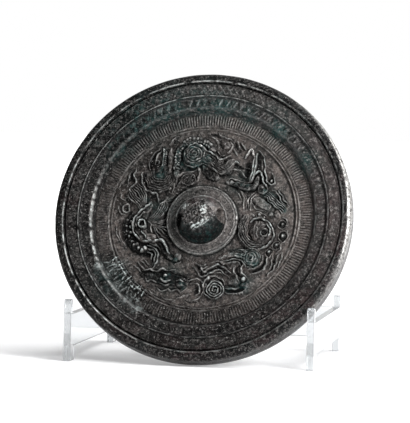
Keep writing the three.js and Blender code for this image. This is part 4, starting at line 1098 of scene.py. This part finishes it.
def bronzeMaterial():
    m = bpy.data.materials.new("darkBronze")
    m.use_nodes = True
    t = m.node_tree
    t.nodes.clear()
    out, skin = add(t, "ShaderNodeOutputMaterial"), add(t, "ShaderNodeBsdfPrincipled")
    place = add(t, "ShaderNodeTexCoord")
    face = add(t, "ShaderNodeMapping", {"vector_type": "TEXTURE"}, Location=discCentre, Rotation=discTurn)
    vector = face.outputs["Vector"]
    join(t, (skin.outputs["BSDF"], out.inputs["Surface"]), (place.outputs["Object"], face.inputs["Vector"]))

    def spots(name):
        scale, start, full, *more = bronzeSpots[name]
        n = add(t, "ShaderNodeGroup", {"node_tree": mottle}, Scale=scale, Low=start, High=full,
                Roughness=more[0] if more else 0.6)
        join(t, (vector, n.inputs["Vector"]))
        return n.outputs["Mask"]

    def calc(kind, *values):
        n = add(t, "ShaderNodeMath", {"operation": kind, "use_clamp": True})
        for socket, value in zip(n.inputs, values):
            if isinstance(value, (int, float)):
                socket.default_value = value
            else:
                join(t, (value, socket))
        return n.outputs[0]

    def times(a, b):
        return calc("MULTIPLY", a, b)

    def plus(a, b):
        return calc("ADD", a, b)

    def minus(a, b):
        return calc("SUBTRACT", a, b)

    def most(a, b):
        return calc("MAXIMUM", a, b)

    def over(colour, mask, top):
        n = add(t, "ShaderNodeMix", {"data_type": "RGBA"})
        join(t, (mask, n.inputs[0]))
        if isinstance(colour, tuple):
            n.inputs[6].default_value = colour
        else:
            join(t, (colour, n.inputs[6]))
        n.inputs[7].default_value = bronzeColours[top]
        return n.outputs[2]

    wearAndHighlight, dirt, teal, red, pale, crevice, black = (
        add(t, "ShaderNodeAttribute", {"attribute_name": name}).outputs["Fac"]
        for name in ("wearAndHighlight", "dirt", "teal", "red", "pale", "crevice", "black"))
    # dust, thinned in the painted shade
    dirtMask = times(times(dirt, minus(1.0, times(black, 0.6))), plus(spots("dust"), 0.2))
    tealMask = times(plus(teal, 0.06), plus(times(spots("teal"), 0.7), 0.35))
    # wear and painted highlights: bright metal on worn parts and where highlights are painted on
    wearAndHighlightMask = times(wearAndHighlight, plus(times(spots("worn"), 0.7), 0.3))
    paleMask = times(pale, spots("pale"))
    colour = bronzeColours["dark"]
    for mask, top in ((times(spots("brown"), minus(1.0, black)), "brown"),
                      (times(plus(red, 0.12), spots("red")), "red"),
                      (dirtMask, "dust"),
                      (tealMask, "teal"),
                      # black blotches in the black patina and painted shade
                      (times(times(black, 0.9), spots("black")), "deep"),
                      # wear and painted highlights, in the worn colour
                      (times(wearAndHighlightMask, 0.8), "worn"),
                      (times(times(spots("speck"), 0.7), minus(1.0, times(black, 0.55))), "speck"),
                      (times(spots("pit"), 0.8), "deep"),
                      # the crevice mark's painted shade, in near black
                      (crevice, "deep"),
                      # painted glints in the black patina and painted shade
                      (times(times(black, minus(0.55, teal)), spots("glint")), "worn"),
                      # pale patina, the strokes and painted highlights
                      (paleMask, "pale")):
        colour = over(colour, mask, top)
    metal = times(minus(1.0, most(dirtMask, most(tealMask, paleMask))), plus(0.12, times(wearAndHighlightMask, 0.7)))
    gloss = plus(plus(0.26, times(spots("gloss"), 0.16)), times(most(dirtMask, paleMask), 0.35))
    grain = add(t, "ShaderNodeGroup", {"node_tree": castGrain}, Fine=bronzeGrain["Fine"], Pits=bronzeGrain["Pits"])
    uneven = add(t, "ShaderNodeBump", None, Strength=bronzeGrain["strength"], Distance=bronzeGrain["distance"])
    join(t, (colour, skin.inputs["Base Color"]), (metal, skin.inputs["Metallic"]),
         (minus(gloss, times(wearAndHighlightMask, 0.08)), skin.inputs["Roughness"]),
         # less specular in the black patina and the painted shade
         (minus(0.5, times(most(black, crevice), 0.44)), skin.inputs["Specular IOR Level"]),
         (vector, grain.inputs["Vector"]), (grain.outputs["Height"], uneven.inputs["Height"]),
         (uneven.outputs["Normal"], skin.inputs["Normal"]))
    return m


def acrylicMaterial(name, roughness, clear, tint):
    m = bpy.data.materials.new(name)
    m.use_nodes = True
    t = m.node_tree
    skin = t.nodes["Principled BSDF"]
    for label, value in (("Base Color", tint), ("Transmission Weight", clear), ("IOR", acrylicSet["ior"])):
        skin.inputs[label].default_value = value
    scale, start, full = acrylicSet["hazeSpots"]
    place = add(t, "ShaderNodeTexCoord")
    haze = add(t, "ShaderNodeGroup", {"node_tree": mottle}, Scale=scale, Low=start, High=full)
    amount = add(t, "ShaderNodeMath", {"operation": "MULTIPLY_ADD"})
    amount.inputs[1].default_value, amount.inputs[2].default_value = acrylicSet["haze"], roughness
    join(t, (place.outputs["Object"], haze.inputs["Vector"]), (haze.outputs["Mask"], amount.inputs[0]),
         (amount.outputs[0], skin.inputs["Roughness"]))
    return m


bronze = bronzeMaterial()
acrylicFace = acrylicMaterial("acrylicFace", *acrylicSet["face"])
acrylicEdge = acrylicMaterial("acrylicEdge", *acrylicSet["cutEdge"])
for piece in casting:
    piece.data.materials.clear()
    piece.data.materials.append(bronze)
for piece in sheets:
    piece.data.materials.clear()
    piece.data.materials.append(acrylicFace)
    piece.data.materials.append(acrylicEdge)
    size = np.array([v.co for v in piece.data.vertices])
    through = int(np.argmin(size.max(0) - size.min(0)))  # the way through the sheet
    for face in piece.data.polygons:
        face.material_index = 0 if abs(face.normal[through]) > 0.8 else 1
print("materials made")

floorSet = {"size": 12.0, "colour": (0.86, 0.86, 0.87, 1), "roughness": 0.7,
            # the floor glows, a painted light, dimmest near the stand and burning out to white away from it
            "glow": (0.2, 0.8), "middle": (-0.12, 0.10, 0), "reach": (0.165, 0.29)}
lightSet = {"white": 1.0, "dim": 0.04, "bright": (0.70, 0.62, 0.35), "span": (-0.25, 0.95),
            "sun": ("overhead", (-4, 32, 0), 25, 1.5),
            "lamps": [("topSoftbox", (0.35, -0.25, 1.2), (0.0, 0.0, 0.05), 0.6, 4.0),
                      ("rightWindow", (0.42, -0.33, 0.28), (0.0, 0.0, 0.06), 0.2, 3.4)]}
cameraSet = {"place": (178.8, -1001.6, 108.3), "down": 2.63, "turn": 10.29, "roll": 1.27, "lens": 204.26,
             "clip": (0.05, 20)}


def makeFloor():
    bpy.ops.object.select_all(action="DESELECT")
    bpy.ops.mesh.primitive_plane_add(size=floorSet["size"], location=(0, 0, 0))
    floor = bpy.context.active_object
    floor.name = "floor"
    m = bpy.data.materials.new("paleFloor")
    m.use_nodes = True
    t = m.node_tree
    skin = t.nodes["Principled BSDF"]
    skin.inputs["Base Color"].default_value = floorSet["colour"]
    skin.inputs["Roughness"].default_value = floorSet["roughness"]
    skin.inputs["Emission Color"].default_value = (1, 1, 1, 1)
    place = add(t, "ShaderNodeTexCoord")
    far = add(t, "ShaderNodeVectorMath", {"operation": "DISTANCE"})
    far.inputs[1].default_value = floorSet["middle"]
    strength = smoothRange(t, far.outputs["Value"], floorSet["reach"], floorSet["glow"])
    join(t, (place.outputs["Object"], far.inputs[0]), (strength, skin.inputs["Emission Strength"]))
    floor.data.materials.append(m)


def link(name, data):
    thing = bpy.data.objects.new(name, data)
    bpy.context.scene.collection.objects.link(thing)
    return thing


def makeLights():
    # the room is white behind and to the right, dim in front, and white where the camera sees it
    s = lightSet
    world = bpy.data.worlds.new("studio")
    world.use_nodes = True
    t = world.node_tree
    back = t.nodes["Background"]
    back.inputs["Color"].default_value = (1, 1, 1, 1)
    way, seen = add(t, "ShaderNodeTexCoord"), add(t, "ShaderNodeLightPath")
    toward = add(t, "ShaderNodeVectorMath", {"operation": "DOT_PRODUCT"})
    toward.inputs[1].default_value = s["bright"]
    pick = add(t, "ShaderNodeMix", {"data_type": "FLOAT"})
    pick.inputs[3].default_value = 1.0
    join(t, (way.outputs["Generated"], toward.inputs[0]), (seen.outputs["Is Camera Ray"], pick.inputs[0]),
         (smoothRange(t, toward.outputs["Value"], s["span"], (s["dim"], s["white"])), pick.inputs[2]),
         (pick.outputs[0], back.inputs["Strength"]))
    bpy.context.scene.world = world
    name, turn, spread, power = s["sun"]
    sun = link(name, bpy.data.lights.new(name, "SUN"))
    sun.data.angle, sun.data.energy = math.radians(spread), power
    sun.rotation_euler = [math.radians(a) for a in turn]
    for name, place, target, size, power in s["lamps"]:
        lamp = link(name, bpy.data.lights.new(name, "AREA"))
        lamp.data.size, lamp.data.energy = size, power
        lamp.location = place
        lamp.rotation_euler = (Vector(target) - lamp.location).to_track_quat("-Z", "Y").to_euler()


def makeCamera():
    c = cameraSet
    camera = link("camera", bpy.data.cameras.new("camera"))
    camera.data.lens, (camera.data.clip_start, camera.data.clip_end) = c["lens"], c["clip"]
    turn, tilt, roll = (Matrix.Rotation(math.radians(a), 4, axis)
                        for a, axis in ((c["turn"], "Z"), (90 - c["down"], "X"), (c["roll"], "Z")))
    camera.matrix_world = Matrix.Translation(Vector(c["place"]) * mm) @ (turn @ tilt @ roll)
    bpy.context.scene.camera = camera


makeFloor()
makeLights()
makeCamera()
bpy.context.scene.view_settings.view_transform = "Standard"
bpy.context.scene.cycles.max_bounces = 24  # light runs far along inside the clear sheets
bpy.context.scene.cycles.glossy_bounces = 16
bpy.context.scene.cycles.transmission_bounces = 20
print("scene ready")
